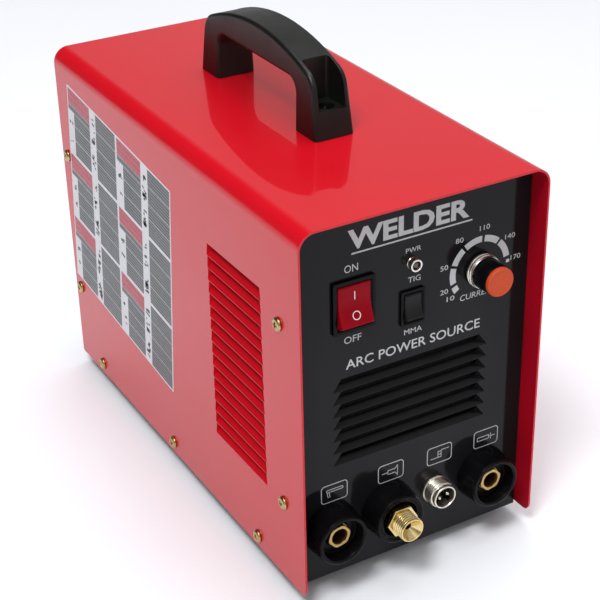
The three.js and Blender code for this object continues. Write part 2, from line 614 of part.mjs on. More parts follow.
// ---- Insides ----

const HEATSINK = { y0: 122, y1: 266, x0: 5, x1: 64, height: 60, fins: 8, fin: 2, base: 7 };
const BOARD_Z = TRAY_TOP + GAP + HEATSINK.height + GAP;
const BOARD_T = 2;

function makeHeatsinks() {
  const { y0, y1, x0, x1, height, fins, fin, base } = HEATSINK;
  const bottom = TRAY_TOP + GAP;
  const top = bottom + height;
  const step = (x1 - x0 - fin) / (fins - 1);
  const comb = [[x0, top]];
  for (let i = 0; i < fins; i += 1) {
    const x = x0 + i * step;
    comb.push([x, bottom], [x + fin, bottom]);
    if (i < fins - 1) {
      comb.push([x + fin, top - base], [x + step, top - base]);
    }
  }
  comb.push([x1, top]);
  const mirrored = comb.map(([x, z]) => [-x, z]).reverse();
  add('heatsink_right', alongY(polygon(comb), y0, y1), aluminium());
  add('heatsink_left', alongY(polygon(mirrored), y0, y1), aluminium());
}

function makeBoards() {
  add('inverter_board', box(-68, 68, 114, 274, BOARD_Z, BOARD_Z + BOARD_T), boardGreen());
  const foot = BOARD_Z + BOARD_T + GAP;
  add('control_board', box(-66, 10, 118, 119.6, foot, foot + 84), boardGreen());
  [['capacitor_front', 142], ['capacitor_rear', 180]].forEach(([name, y]) => {
    add(name, rodZ(16, foot, foot + 45, -44, y, 20), material('#23406e', 0.4));
  });
  const coil = alongZ(rectangle(46, 34), foot + 8, foot + 40);
  const core = alongZ(rectangle(30, 56), foot, foot + 48);
  const transformer = add('transformer', core.add(coil), copper());
  transformer.position.set(22, 175, 0);
}

function makeFloorPieces() {
  const floor = TRAY_TOP + GAP;
  const core = alongZ(rectangle(36, 60), floor, floor + 50);
  const winding = alongZ(rectangle(50, 40), floor + 8, floor + 42);
  add('output_choke', core.add(winding), ferrite()).position.set(-34, 84, 0);
  add('arc_starting_coil', upright([[10, floor], [27, floor], [29, floor + 3], [29, floor + 31],
    [27, floor + 34], [10, floor + 34]], 20), copper()).position.set(34, 84, 0);
  const valveY = REAR_Y - 7 - GAP;
  const block = box(-14, 14, valveY - 26, valveY, GAS_AT[1] - 12, GAS_AT[1] + 12);
  const coil = rodZ(11, GAS_AT[1] + 11, GAS_AT[1] + 30, 0, valveY - 13, 16);
  const foot = box(-10, 10, valveY - 22, valveY - 4, floor + SHEET + GAP, GAS_AT[1] - 11);
  add('gas_valve', joined(block, coil, foot), brass()).position.set(GAS_AT[0], 0, 0);
}

makeHood();
makeFrontPanel();
makeRearPanel();
makeTray();
makeFeet();
makeHoodScrews();
makeHandle();
makeRockerSwitch('power', POWER_AT, POWER, blackPlastic(), material('#b3121f', 0.2));
makeRockerSwitch('mode', MODE_AT, MODE, blackPlastic(), blackPlastic());
makeLamp();
makeCurrentControl();
makeCableSocket('left', LEFT_SOCKET_X);
makeTorchSocket();
makeControlSocket();
makeCableSocket('right', RIGHT_SOCKET_X);
makeFan();
makeFanGuard();
makeCableGland();
makeGasInlet();
makeEarthStud();
makeHeatsinks();
makeBoards();
makeFloorPieces();

export default machine;
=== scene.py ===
import json
import random
from math import atan2, cos, pi, radians, sin, sqrt, tan

import bmesh
import bpy
from mathutils import Matrix, Vector

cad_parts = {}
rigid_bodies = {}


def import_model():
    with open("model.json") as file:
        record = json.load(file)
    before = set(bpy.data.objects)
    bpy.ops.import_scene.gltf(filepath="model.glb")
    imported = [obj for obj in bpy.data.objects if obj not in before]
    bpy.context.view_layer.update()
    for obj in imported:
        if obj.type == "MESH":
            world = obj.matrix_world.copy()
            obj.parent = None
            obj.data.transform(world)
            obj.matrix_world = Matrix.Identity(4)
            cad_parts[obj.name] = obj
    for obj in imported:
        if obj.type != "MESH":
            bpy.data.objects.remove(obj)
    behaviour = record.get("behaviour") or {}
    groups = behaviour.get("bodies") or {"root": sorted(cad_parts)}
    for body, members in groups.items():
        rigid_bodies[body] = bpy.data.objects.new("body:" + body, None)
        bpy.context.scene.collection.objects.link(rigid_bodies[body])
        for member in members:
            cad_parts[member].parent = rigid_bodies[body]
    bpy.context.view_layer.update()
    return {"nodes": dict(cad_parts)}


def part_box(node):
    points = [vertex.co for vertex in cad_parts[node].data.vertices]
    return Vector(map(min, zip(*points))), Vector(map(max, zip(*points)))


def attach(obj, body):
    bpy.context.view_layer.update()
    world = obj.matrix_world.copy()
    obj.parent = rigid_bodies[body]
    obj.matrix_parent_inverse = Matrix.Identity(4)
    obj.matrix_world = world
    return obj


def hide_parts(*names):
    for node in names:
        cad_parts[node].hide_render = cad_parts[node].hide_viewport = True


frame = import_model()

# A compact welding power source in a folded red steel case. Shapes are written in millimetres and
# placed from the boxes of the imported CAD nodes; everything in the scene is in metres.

MM = 0.001
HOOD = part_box("hood")
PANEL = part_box("front_panel")
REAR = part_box("rear_panel")
PANEL_Y = PANEL[0].y / MM
REAR_Y = REAR[1].y / MM
CASE_Y = HOOD[0].y / MM           # hood's front edge
CASE_Z = HOOD[0].z / MM           # hood's bottom edge
HALF_W = HOOD[1].x / MM
CASE_D = (HOOD[1].y - HOOD[0].y) / MM
CASE_H = (HOOD[1].z - HOOD[0].z) / MM
SHEET = 1.2                       # thickness of the steel
LABEL_TILT = 6.17                 # degrees, front end lower
INK = 0.05                        # thickness of the print


def new_object(name, data):
    thing = bpy.data.objects.new(name, data)
    bpy.context.scene.collection.objects.link(thing)
    return thing


def set_sockets(node, **values):
    for key, value in values.items():
        node.inputs[key.replace("_", " ")].default_value = value


def add_node(tree, kind, **values):
    node = tree.nodes.new(f"ShaderNode{kind}")
    set_sockets(node, **values)
    return node


# ---- Camera, floor and light ----

CAMERA_LENS = 91.49
CAMERA_AT = (-0.399179, -0.742797, 0.568396)
CAMERA_TURN = (-29.142, 29.068, -1.375)       # azimuth, elevation and roll in degrees
ROOM = 0.28                                   # brightness of the studio's walls
# (direction, cosine where the patch starts, cosine where it is full, brightness)
PATCHES = (
    ((0, 0, 1), 0.3, 0.8, 0.9),               # white ceiling
    ((0.50, 0.72, 0.48), 0.72, 0.88, 0.42),   # white screen behind, on the right
    ((-0.62, 0.70, 0.24), 0.42, 0.75, 0.04),  # black screen behind, on the left
    ((0.43, -0.70, 0.58), 0.8, 0.93, 0.5),    # pale screen in front, on the right
)
MIX_A, MIX_B = 2, 3                           # number sockets of a Mix node
FLOOR_HALF = 14


def make_camera():
    data = bpy.data.cameras.new("camera")
    data.lens, data.sensor_width = CAMERA_LENS, 36
    data.clip_start, data.clip_end = 0.05, 60
    camera = new_object("camera", data)
    azimuth, elevation, roll = (radians(a) for a in CAMERA_TURN)
    back = Vector((sin(azimuth) * cos(elevation),
                   -cos(azimuth) * cos(elevation), sin(elevation)))
    level = Vector((0, 0, 1)).cross(back).normalized()
    above = back.cross(level)
    right = level * cos(roll) + above * sin(roll)
    up = above * cos(roll) - level * sin(roll)
    turn = Matrix((right, up, back)).transposed()
    camera.matrix_world = Matrix.Translation(CAMERA_AT) @ turn.to_4x4()
    bpy.context.scene.camera = camera


def make_floor():
    data = bpy.data.meshes.new("floor")
    corners = [(-1, -1), (1, -1), (1, 1), (-1, 1)]
    data.from_pydata([(x * FLOOR_HALF, y * FLOOR_HALF, 0) for x, y in corners], [], [(0, 1, 2, 3)])
    data.materials.append(LOOK["floor"])
    new_object("floor", data)


def make_light(name, at, aim, size, power):
    data = bpy.data.lights.new(name, "AREA")
    data.shape, data.size, data.size_y, data.energy = "RECTANGLE", size, size, power
    light = new_object(name, data)
    light.location = at
    light.rotation_euler = (Vector(aim) - Vector(at)).to_track_quat("-Z", "Y").to_euler()


def make_world():
    world = bpy.data.worlds.new("studio")
    bpy.context.scene.world = world
    world.use_nodes = True
    tree, link = world.node_tree, world.node_tree.links.new
    place = add_node(tree, "TexCoord")
    level = None
    for aim, start, full, brightness in PATCHES:
        toward = add_node(tree, "VectorMath")
        toward.operation = "DOT_PRODUCT"
        toward.inputs[1].default_value = Vector(aim).normalized()
        link(place.outputs["Generated"], toward.inputs[0])
        share = add_node(tree, "MapRange", From_Min=start, From_Max=full)
        share.interpolation_type = "SMOOTHSTEP"
        link(toward.outputs["Value"], share.inputs["Value"])
        mix = add_node(tree, "Mix")
        link(share.outputs[0], mix.inputs[0])
        mix.inputs[MIX_A].default_value, mix.inputs[MIX_B].default_value = ROOM, brightness
        if level:
            link(level, mix.inputs[MIX_A])
        level = mix.outputs[0]
    link(level, tree.nodes["Background"].inputs["Color"])


# ---- Materials ----

NOISE_LOW, NOISE_HIGH = 0.3, 0.7  # span of the noise


def surface(name, colour, rough, metal=0.0, vary=0.08, rough_vary=0.05, scale=60, bump=0.0,
            bump_scale=400, bump_distance=0.00005, stretch=(1, 1, 1), spec=0.5, **more):
    """Principled material with noise in its colour and roughness, and a fine bump."""
    made = bpy.data.materials.new(name)
    made.use_nodes = True
    tree, link = made.node_tree, made.node_tree.links.new
    shader = tree.nodes["Principled BSDF"]
    set_sockets(shader, Metallic=metal, Specular_IOR_Level=spec, **more)
    place = add_node(tree, "TexCoord")
    mapping = add_node(tree, "Mapping", Scale=stretch)
    link(place.outputs["Object"], mapping.inputs["Vector"])
    noise = add_node(tree, "TexNoise", Scale=scale, Detail=4)
    link(mapping.outputs[0], noise.inputs["Vector"])
    tint = add_node(tree, "ValToRGB")
    dark, light = tint.color_ramp.elements
    dark.position, light.position = NOISE_LOW, NOISE_HIGH
    dark.color = (*[c * (1 - vary) for c in colour], 1)
    light.color = (*[min(1, c * (1 + vary)) for c in colour], 1)
    link(noise.outputs["Fac"], tint.inputs[0])
    link(tint.outputs[0], shader.inputs["Base Color"])
    spread = add_node(tree, "MapRange", From_Min=NOISE_LOW, From_Max=NOISE_HIGH,
                      To_Min=max(0.0, rough - rough_vary), To_Max=min(1.0, rough + rough_vary))
    link(noise.outputs["Fac"], spread.inputs[0])
    link(spread.outputs[0], shader.inputs["Roughness"])
    if bump:
        grain = add_node(tree, "TexNoise", Scale=bump_scale, Detail=2)
        link(mapping.outputs[0], grain.inputs["Vector"])
        lift = add_node(tree, "Bump", Strength=bump, Distance=bump_distance)
        link(grain.outputs["Fac"], lift.inputs["Height"])
        link(lift.outputs[0], shader.inputs["Normal"])
    return made


def printed_lines(name, ink, paper, pitch, thick, cover):
    """Rows of broken ink lines, like small print; `thick` and `cover` are shares of each row."""
    made = surface(name, paper, 0.3, vary=0.02)
    tree, link = made.node_tree, made.node_tree.links.new
    shader = tree.nodes["Principled BSDF"]
    place = add_node(tree, "TexCoord")
    level = add_node(tree, "Mapping", Rotation=(radians(-LABEL_TILT), 0, 0))
    link(place.outputs["Object"], level.inputs["Vector"])
    split = add_node(tree, "SeparateXYZ")
    link(level.outputs[0], split.inputs[0])

    def maths(operation, a, b=None):
        node = add_node(tree, "Math")
        node.operation = operation
        for i, value in enumerate((a, b)):
            if hasattr(value, "links"):
                link(value, node.inputs[i])
            elif value is not None:
                node.inputs[i].default_value = value
        return node.outputs[0]

    rows = maths("FRACT", maths("DIVIDE", split.outputs["Z"], pitch))
    on_row = maths("LESS_THAN", rows, thick)
    words = add_node(tree, "TexNoise", Scale=900)
    stretch = add_node(tree, "Mapping", Scale=(1, 0.8, 1.6))
    link(level.outputs[0], stretch.inputs["Vector"])
    link(stretch.outputs[0], words.inputs["Vector"])
    inked = maths("MULTIPLY", on_row, maths("GREATER_THAN", words.outputs["Fac"], 1 - cover))
    mix = add_node(tree, "Mix")
    mix.data_type = "RGBA"
    link(inked, mix.inputs["Factor"])
    link(shader.inputs["Base Color"].links[0].from_socket, mix.inputs["A"])
    mix.inputs["B"].default_value = (*ink, 1)
    link(mix.outputs["Result"], shader.inputs["Base Color"])
    return made


LOOK = {
    "red": surface("red_paint", (0.59, 0.004, 0.013), 0.35, vary=0.03, scale=8, bump=0.05,
        bump_scale=350, Coat_Weight=0.72, Coat_Roughness=0.03, Coat_IOR=1.5, spec=0.08),
    # darker red for the hood's inner faces: painted shade, standing for the shade inside the case
    "red_shaded_inside": surface("red_paint_shaded_inside", (0.38, 0.003, 0.013), 0.4, vary=0.05, scale=8, bump=0.05,
        bump_scale=350, spec=0.1),
    "panel": surface("black_panel", (0.009, 0.009, 0.010), 0.12, vary=0.15, rough_vary=0.05, scale=22,
        bump=0.12, bump_scale=700, spec=0.15),
    "handle": surface("black_handle", (0.0065, 0.0068, 0.006), 0.38, vary=0.15, rough_vary=0.06,
        scale=70, bump=0.4, bump_scale=1600, spec=0.36),
    "plastic": surface("black_plastic", (0.0035, 0.0032, 0.0038), 0.24, vary=0.15, rough_vary=0.05,
        scale=90, bump=0.15, bump_scale=1500, spec=0.1),
    "matte": surface("matte_black", (0.009, 0.009, 0.0095), 0.5, vary=0.15, rough_vary=0.05, scale=90,
        bump=0.25, bump_scale=1500, spec=0.2),
    "fan": surface("fan_plastic", (0.02, 0.02, 0.022), 0.38, vary=0.15, rough_vary=0.06, scale=90,
        bump=0.2, bump_scale=1500),
    # black pads behind the louvres: painted shade inside the case
    "foam": surface("painted_shade_pad", (0.01, 0.01, 0.01), 0.9, vary=0.5, scale=700, bump=0.9,
        bump_scale=600, bump_distance=0.0004, spec=0.1),
    "rubber": surface("rubber", (0.012, 0.012, 0.012), 0.75, vary=0.2, bump=0.5, bump_scale=900),
    "rocker": surface("red_rocker", (0.26, 0.003, 0.009), 0.25, vary=0.1, scale=120, spec=0.06),
    "zinc": surface("yellow_zinc", (0.50, 0.38, 0.17), 0.3, metal=1.0, vary=0.22, rough_vary=0.1,
        scale=500, bump=0.2, bump_scale=1800),
    # very dark metal for the screws that sit down in the handle's pockets
    "dark_screw": surface("very_dark_screw_metal", (0.03, 0.03, 0.032), 0.35, metal=1.0, vary=0.2, scale=500),
    "brass": surface("brass", (0.82, 0.64, 0.30), 0.2, metal=1.0, vary=0.08, rough_vary=0.07, scale=300,
        bump=0.12, bump_scale=2500, stretch=(1, 5, 1)),
    "contact": surface("contact_brass", (0.50, 0.34, 0.13), 0.28, metal=1.0, vary=0.15, rough_vary=0.08,
        scale=400, bump=0.15, bump_scale=2500, stretch=(1, 5, 1)),
    # dark brass for the inside of the bores: painted shade down the holes
    "dull_brass": surface("dull_brass", (0.10, 0.05, 0.02), 0.5, metal=1.0, vary=0.2, scale=300),
    "nickel": surface("nickel", (0.78, 0.74, 0.66), 0.26, metal=1.0, vary=0.05, rough_vary=0.06,
        scale=300, bump=0.1, bump_scale=2500, stretch=(1, 5, 1)),
    "satin": surface("satin_nickel", (0.80, 0.75, 0.64), 0.34, metal=1.0, vary=0.12, rough_vary=0.1,
        scale=400, bump=0.3, bump_scale=1800, stretch=(1, 0.2, 1)),
    "lens": surface("lamp_lens", (0.02, 0.004, 0.005), 0.1, vary=0.1, Coat_Weight=1.0),
    "orange": surface("orange_cap", (0.58, 0.07, 0.02), 0.45, vary=0.05, scale=200, bump=0.2,
        bump_scale=1500, spec=0.2),
    "print": surface("grey_print", (0.52, 0.52, 0.53), 0.45, vary=0.06, scale=500),
    "mark": surface("white_mark", (0.85, 0.8, 0.8), 0.4, vary=0.03, scale=500),
    "aluminium": surface("aluminium", (0.16, 0.165, 0.17), 0.45, metal=1.0, vary=0.08, scale=200,
        bump=0.2, bump_scale=1500, stretch=(1, 0.1, 1)),
    "board": surface("circuit_board", (0.01, 0.085, 0.03), 0.35, vary=0.35, scale=250),
    "winding": surface("enamelled_copper", (0.55, 0.2, 0.07), 0.3, metal=0.9, vary=0.2, scale=300,
        bump=0.9, bump_scale=500, bump_distance=0.0006, stretch=(0.1, 0.1, 2)),
    "core": surface("core_iron", (0.06, 0.06, 0.065), 0.6, vary=0.25, scale=200, bump=0.4,
        bump_scale=900, stretch=(1, 1, 8)),
    "sleeve": surface("capacitor_sleeve", (0.015, 0.05, 0.16), 0.35, vary=0.08, scale=120),
    "paper": surface("label_white", (0.68, 0.67, 0.70), 0.3, vary=0.03, scale=60),
    "header": printed_lines("label_header", (0.16, 0.02, 0.03), (0.50, 0.02, 0.05), pitch=0.0042,
        thick=0.45, cover=0.5),
    "block": printed_lines("label_block", (0.010, 0.012, 0.014), (0.27, 0.28, 0.29), pitch=0.0021,
        thick=0.78, cover=0.84),
    "mark_ink": surface("label_mark", (0.03, 0.03, 0.035), 0.35, vary=0.3, scale=900),
    "floor": surface("floor", (0.93, 0.945, 1.0), 0.9, vary=0.01, scale=3),
}


# ---- Mesh building ----

AXES = {"front": ((1, 0, 0), (0, 0, 1)), "rear": ((-1, 0, 0), (0, 0, 1)),
        "left": ((0, -1, 0), (0, 0, 1)), "right": ((0, 1, 0), (0, 0, 1)),
        "up": ((1, 0, 0), (0, 1, 0))}     # local right and up of each side


def facing(side, x, y, z, turn=0.0):
    """Matrix that puts local +Z along a side's outward direction, at a point in millimetres."""
    a, b = (Vector(v) for v in AXES[side])
    turned_to = Matrix((a, b, a.cross(b))).transposed().to_4x4()
    return (Matrix.Scale(MM, 4) @ Matrix.Translation((x, y, z)) @ turned_to
            @ Matrix.Rotation(radians(turn), 4, "Z"))


def rounded(points, radius, steps=3, closed=True):
    """Points of a path with its corners rounded."""
    made = []
    count = len(points)
    for i, point in enumerate(points):
        if not closed and i in (0, count - 1):
            made.append(tuple(point))
            continue
        p = Vector(point)
        before, after = Vector(points[i - 1]) - p, Vector(points[(i + 1) % count]) - p
        if before.length < 1e-6 or after.length < 1e-6:
            continue
        angle = before.angle(after)
        if angle > radians(172):
            made.append(tuple(p))
            continue
        reach = min(radius / tan(angle / 2), before.length * 0.48, after.length * 0.48)
        r = reach * tan(angle / 2)
        middle = (before.normalized() + after.normalized()).normalized()
        centre = p + middle * (r / sin(angle / 2))
        start = p + before.normalized() * reach - centre
        end = p + after.normalized() * reach - centre
        made += [tuple(centre + start.slerp(end, k / steps).normalized() * r)
                 for k in range(steps + 1)]
    return made


def distinct(loop):
    """A face's corners without repeats."""
    return [v for i, v in enumerate(loop) if v != loop[i - 1]]


def turned(profile, sides=64, r=0.0, steps=3):
    """A profile of [radius, height] points turned about local Z."""
    on_axis = profile[0][0] == 0 and profile[-1][0] == 0
    path = rounded(profile, r, steps, closed=not on_axis) if r else list(profile)
    verts, rows = [], []
    for radius, height in path:
        if radius < 1e-6:
            rows.append([len(verts)] * sides)
            verts.append((0, 0, height))
        else:
            rows.append([len(verts) + k for k in range(sides)])
            verts += [(x, y, height) for x, y in circle(radius, sides=sides)]
    faces = []
    pairs = list(zip(rows, rows[1:])) + ([] if on_axis else [(rows[-1], rows[0])])
    for a, b in pairs:
        for k in range(sides):
            j = (k + 1) % sides
            loop = distinct([a[k], a[j], b[j], b[k]])
            if len(loop) > 2:
                faces.append(loop)
    return verts, faces


def prism(outline, h0, h1, top_scale=1.0):
    n = len(outline)
    verts = [(x, y, h0) for x, y in outline] + [(x * top_scale, y * top_scale, h1) for x, y in outline]
    faces = [list(range(n))[::-1], list(range(n, 2 * n))]
    faces += [[k, (k + 1) % n, n + (k + 1) % n, n + k] for k in range(n)]
    return verts, faces


def frame_prism(outer, inner, h0, h1):
    """A ring between two outlines with the same number of points."""
    n = len(outer)
    verts = [(x, y, h) for h in (h0, h1) for loop in (outer, inner) for x, y in loop]
    faces = []
    for k in range(n):
        j = (k + 1) % n
        faces += [[k, j, 2 * n + j, 2 * n + k], [n + j, n + k, 3 * n + k, 3 * n + j],
                  [2 * n + k, 2 * n + j, 3 * n + j, 3 * n + k], [j, k, n + k, n + j]]
    return verts, faces


def rectangle(w, h, r=0.0, x=0.0, y=0.0):
    corners = [(-w / 2, -h / 2), (w / 2, -h / 2), (w / 2, h / 2), (-w / 2, h / 2)]
    points = rounded(corners, r, 4) if r else corners
    return [(a + x, b + y) for a, b in points]


def circle(r, x=0.0, y=0.0, sides=32, turn=0.0):
    angles = [radians(turn) + 2 * pi * k / sides for k in range(sides)]
    return [(x + r * cos(a), y + r * sin(a)) for a in angles]


def dense(points, step):
    """Outline with its long edges divided."""
    made = []
    for i, point in enumerate(points):
        a, b = Vector(point), Vector(points[(i + 1) % len(points)])
        count = max(1, round((b - a).length / step))
        made += [tuple(a.lerp(b, k / count)) for k in range(count)]
    return made


def bored(outline, r, h0, h1):
    """A solid of this outline, between two heights, with a round hole."""
    hole = [tuple(Vector(p).normalized() * r) for p in outline]
    return frame_prism(outline, hole, h0, h1)


def hexagon(across, r, step, turn=0.0):
    """Outline of a nut, with rounded corners."""
    return dense(rounded(circle(across / 2, sides=6, turn=turn), r), step)


def ribbon(points, width, thick=INK, closed=False):
    """A flat strip of ink along a path."""
    path = [Vector(p) for p in points]
    n = len(path)
    left, right = [], []
    for i, p in enumerate(path):
        before = path[i - 1] if closed or i else None
        after = path[(i + 1) % n] if closed or i < n - 1 else None
        a = (p - before).normalized() if before is not None else (after - p).normalized()
        b = (after - p).normalized() if after is not None else a
        normal = Vector((-(a.y + b.y), a.x + b.x))
        normal = normal.normalized() if normal.length > 1e-6 else Vector((-a.y, a.x))
        mitre = width / 2 / max(0.5, normal.dot(Vector((-a.y, a.x))))
        left.append(p + normal * mitre)
        right.append(p - normal * mitre)
    if closed:
        return frame_prism([tuple(p) for p in right], [tuple(p) for p in left], 0, thick)
    return prism([tuple(p) for p in right] + [tuple(p) for p in reversed(left)], 0, thick)


def moved(shape, x=0.0, y=0.0, z=0.0):
    verts, faces = shape
    return [(a + x, b + y, c + z) for a, b, c in verts], faces


def mesh_of(name, shapes, matrix):
    verts, faces = [], []
    for shape_verts, shape_faces in shapes:
        faces += [[i + len(verts) for i in face] for face in shape_faces]
        verts += shape_verts
    data = bpy.data.meshes.new(name)
    data.from_pydata([matrix @ Vector(v) for v in verts], [], faces)
    clean = bmesh.new()
    clean.from_mesh(data)
    bmesh.ops.recalc_face_normals(clean, faces=clean.faces)
    clean.to_mesh(data)
    clean.free()
    return data


def round_edges(thing, width, segments, angle):
    cut = thing.modifiers.new("bevel", "BEVEL")
    cut.width, cut.segments = width * MM, segments
    cut.limit_method, cut.angle_limit = "ANGLE", radians(angle)


def finish_mesh(thing, bevel=0.0, segments=3, smooth=40, bevel_angle=35):
    thing.data.shade_smooth()
    if bevel:
        round_edges(thing, bevel, segments, bevel_angle)
        even = thing.modifiers.new("even", "WEIGHTED_NORMAL")
        even.keep_sharp, even.weight = True, 80
    else:
        thing.data.set_sharp_from_angle(angle=radians(smooth))


def bare_piece(name, data, look, replaces=(), body="case"):
    thing = new_object(name, data)
    data.materials.append(LOOK[look])
    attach(thing, body)
    if replaces:
        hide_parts(*replaces)
    return thing


def mesh_piece(name, data, slot, look, replaces=(), body="case", **finish):
    """A ready mesh as a visible piece with finished edges."""
    finish_mesh(bare_piece(name, data, look, replaces, body), **finish)


def piece(name, shapes, matrix, *looks, **more):
    mesh_piece(name, mesh_of(name, shapes, matrix), *looks, **more)


def baked(thing):
    """Final mesh of an object with its modifiers."""
    view = bpy.context.evaluated_depsgraph_get()
    return bpy.data.meshes.new_from_object(thing.evaluated_get(view))


def carved(body_mesh, cutter_mesh):
    """The first mesh with the second cut out of it."""
    body, cutter = new_object("work", body_mesh), new_object("work", cutter_mesh)
    cut = body.modifiers.new("cut", "BOOLEAN")
    cut.object, cut.operation, cut.solver = cutter, "DIFFERENCE", "EXACT"
    bpy.context.view_layer.update()
    made = baked(body)
    for thing in (body, cutter):
        bpy.data.objects.remove(thing)
    return made


def centre_of(node):
    low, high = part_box(node)
    return (low + high) / 2 / MM


def on_front(node):
    """Matrix for a part on the front panel, centred on a CAD node."""
    at = centre_of(node)
    return facing("front", at.x, PANEL_Y, at.z)


def on_rear(node):
    at = centre_of(node)
    return facing("rear", at.x, REAR_Y, at.z)


def spun(shape, matrix):
    verts, faces = shape
    return [tuple(matrix @ Vector(v)) for v in verts], faces


class Sheet:
    """Folded sheet metal as one surface, which a modifier thickens inwards."""

    def __init__(self):
        self.ids, self.verts, self.faces = {}, [], []

    def face(self, points):
        loop = []
        for p in points:
            key = tuple(round(c, 4) for c in p)
            if key not in self.ids:
                self.ids[key] = len(self.verts)
                self.verts.append(key)
            loop.append(self.ids[key])
        if len(distinct(loop)) > 2:
            self.faces.append(distinct(loop))

    def louvres(self, at, bottoms, slit, a, b):
        """Pressed-in louvres; `at(u, v, w)` gives a point. Returns the field's two side edges."""
        side = []
        for i, low in enumerate(bottoms):
            top, slat, depth = low + LOUVRE_H, low + LOUVRE_H - slit, LOUVRE_DEPTH
            self.face([at(-a, low), at(a, low), at(b, slat, depth), at(-b, slat, depth)])
            self.face([at(-a, low), at(-b, slat, depth), at(-b, top)])
            self.face([at(a, low), at(b, top), at(b, slat, depth)])
            if i + 1 < len(bottoms):
                above = bottoms[i + 1]
                self.face([at(-b, top), at(b, top), at(a, above), at(-a, above)])
            side += [(a, low), (b, top)]
        return [(-u, v) for u, v in side], side


def sheet_piece(name, sheet, look, inner, node, bevel):
    """Sheet metal with one look outside and another inside; the hood's darker inside red is painted
    shade.
    """
    matrix = Matrix.Scale(MM, 4) @ Matrix.Translation((0, CASE_Y, CASE_Z))
    data = mesh_of(name, [(sheet.verts, sheet.faces)], matrix)
    thing = bare_piece(name, data, look, [node])
    data.materials.append(LOOK[inner])
    thick = thing.modifiers.new("sheet", "SOLIDIFY")
    thick.thickness, thick.offset, thick.use_even_offset = SHEET * MM, -1, False
    thick.material_offset = 1
    finish_mesh(thing, bevel=bevel, bevel_angle=24)


# ---- Case ----

BEND_R = 10
CORNER_R, REAR_CORNER_R = 5, 1.5  # lower corners of the hood's sides
PITCH, LOUVRE_H, LOUVRE_DEPTH = 7.9, 7.6, 3.4
SIDE_SLIT, FRONT_SLIT = 4, 4.8    # open height above each slat
SIDE_FIELD = (41, 103.8)          # louvre field's ends, from the hood's front edge
SIDE_LOUVRES, FRONT_LOUVRES = (16, 178), (7, 126)  # number, and top of the highest
FRONT_HALF, FRONT_HALF_TOP = 50.5, 45  # half widths of a front louvre, low and high
PANEL_FLANGE = 16
FRONT_PAD, SIDE_PAD = (112, 64, 98.5), (70, 134, 115)  # dark pads as painted shade: width, height, height of its centre


def louvre_bottoms(count, top):
    return [top - (count - 1 - i) * PITCH - LOUVRE_H for i in range(count)]


def quarter(steps):
    return [radians(90 * k / steps) for k in range(steps + 1)]


def make_hood():
    sheet = Sheet()
    middle, half = sum(SIDE_FIELD) / 2, (SIDE_FIELD[1] - SIDE_FIELD[0]) / 2
    bottoms = louvre_bottoms(*SIDE_LOUVRES)
    field_top = bottoms[-1] + LOUVRE_H
    shoulder, flat = CASE_H - BEND_R, HALF_W - BEND_R
    arc = quarter(10)
    spans = [(0, middle + 1 - half), (middle + 1 - half, middle + half - 1),
             (middle + half - 1, CASE_D)]

    def corner(r):
        return [(r - r * sin(a), r - r * cos(a)) for a in arc[::2]]

    for side in (-1, 1):
        def at(u, v, w=0.0, side=side):
            return (side * (HALF_W - w), middle + u, v)
        near, far = sheet.louvres(at, bottoms, SIDE_SLIT, half, half - 1)
        front = [(side * HALF_W, y, z) for y, z in corner(CORNER_R)]
        rear = [(side * HALF_W, CASE_D - y, z) for y, z in corner(REAR_CORNER_R)]
        for rim, sign, zigzag, end in ((front, -1, near, 0), (rear, 1, far, CASE_D)):
            sheet.face(rim[::-1] + [at(sign * half, 0)] + [at(u, v) for u, v in zigzag]
                       + [at(sign * (half - 1), shoulder), (side * HALF_W, end, shoulder)])
        sheet.face([at(-half, 0), at(half, 0), at(half, bottoms[0]), at(-half, bottoms[0])])
        sheet.face([at(1 - half, field_top), at(half - 1, field_top), at(half - 1, shoulder),
                    at(1 - half, shoulder)])
        for pair in zip(arc, arc[1:]):
            (xa, za), (xb, zb) = [(side * (flat + BEND_R * cos(t)),
                                   shoulder + BEND_R * sin(t)) for t in pair]
            for ya, yb in spans:
                sheet.face([(xa, ya, za), (xa, yb, za), (xb, yb, zb), (xb, ya, zb)])
    for ya, yb in spans:
        sheet.face([(-flat, ya, CASE_H), (flat, ya, CASE_H), (flat, yb, CASE_H), (-flat, yb, CASE_H)])
    # the inner faces get the darker red, painted shade
    sheet_piece("case_hood", sheet, "red", "red_shaded_inside", "hood", 0.3)


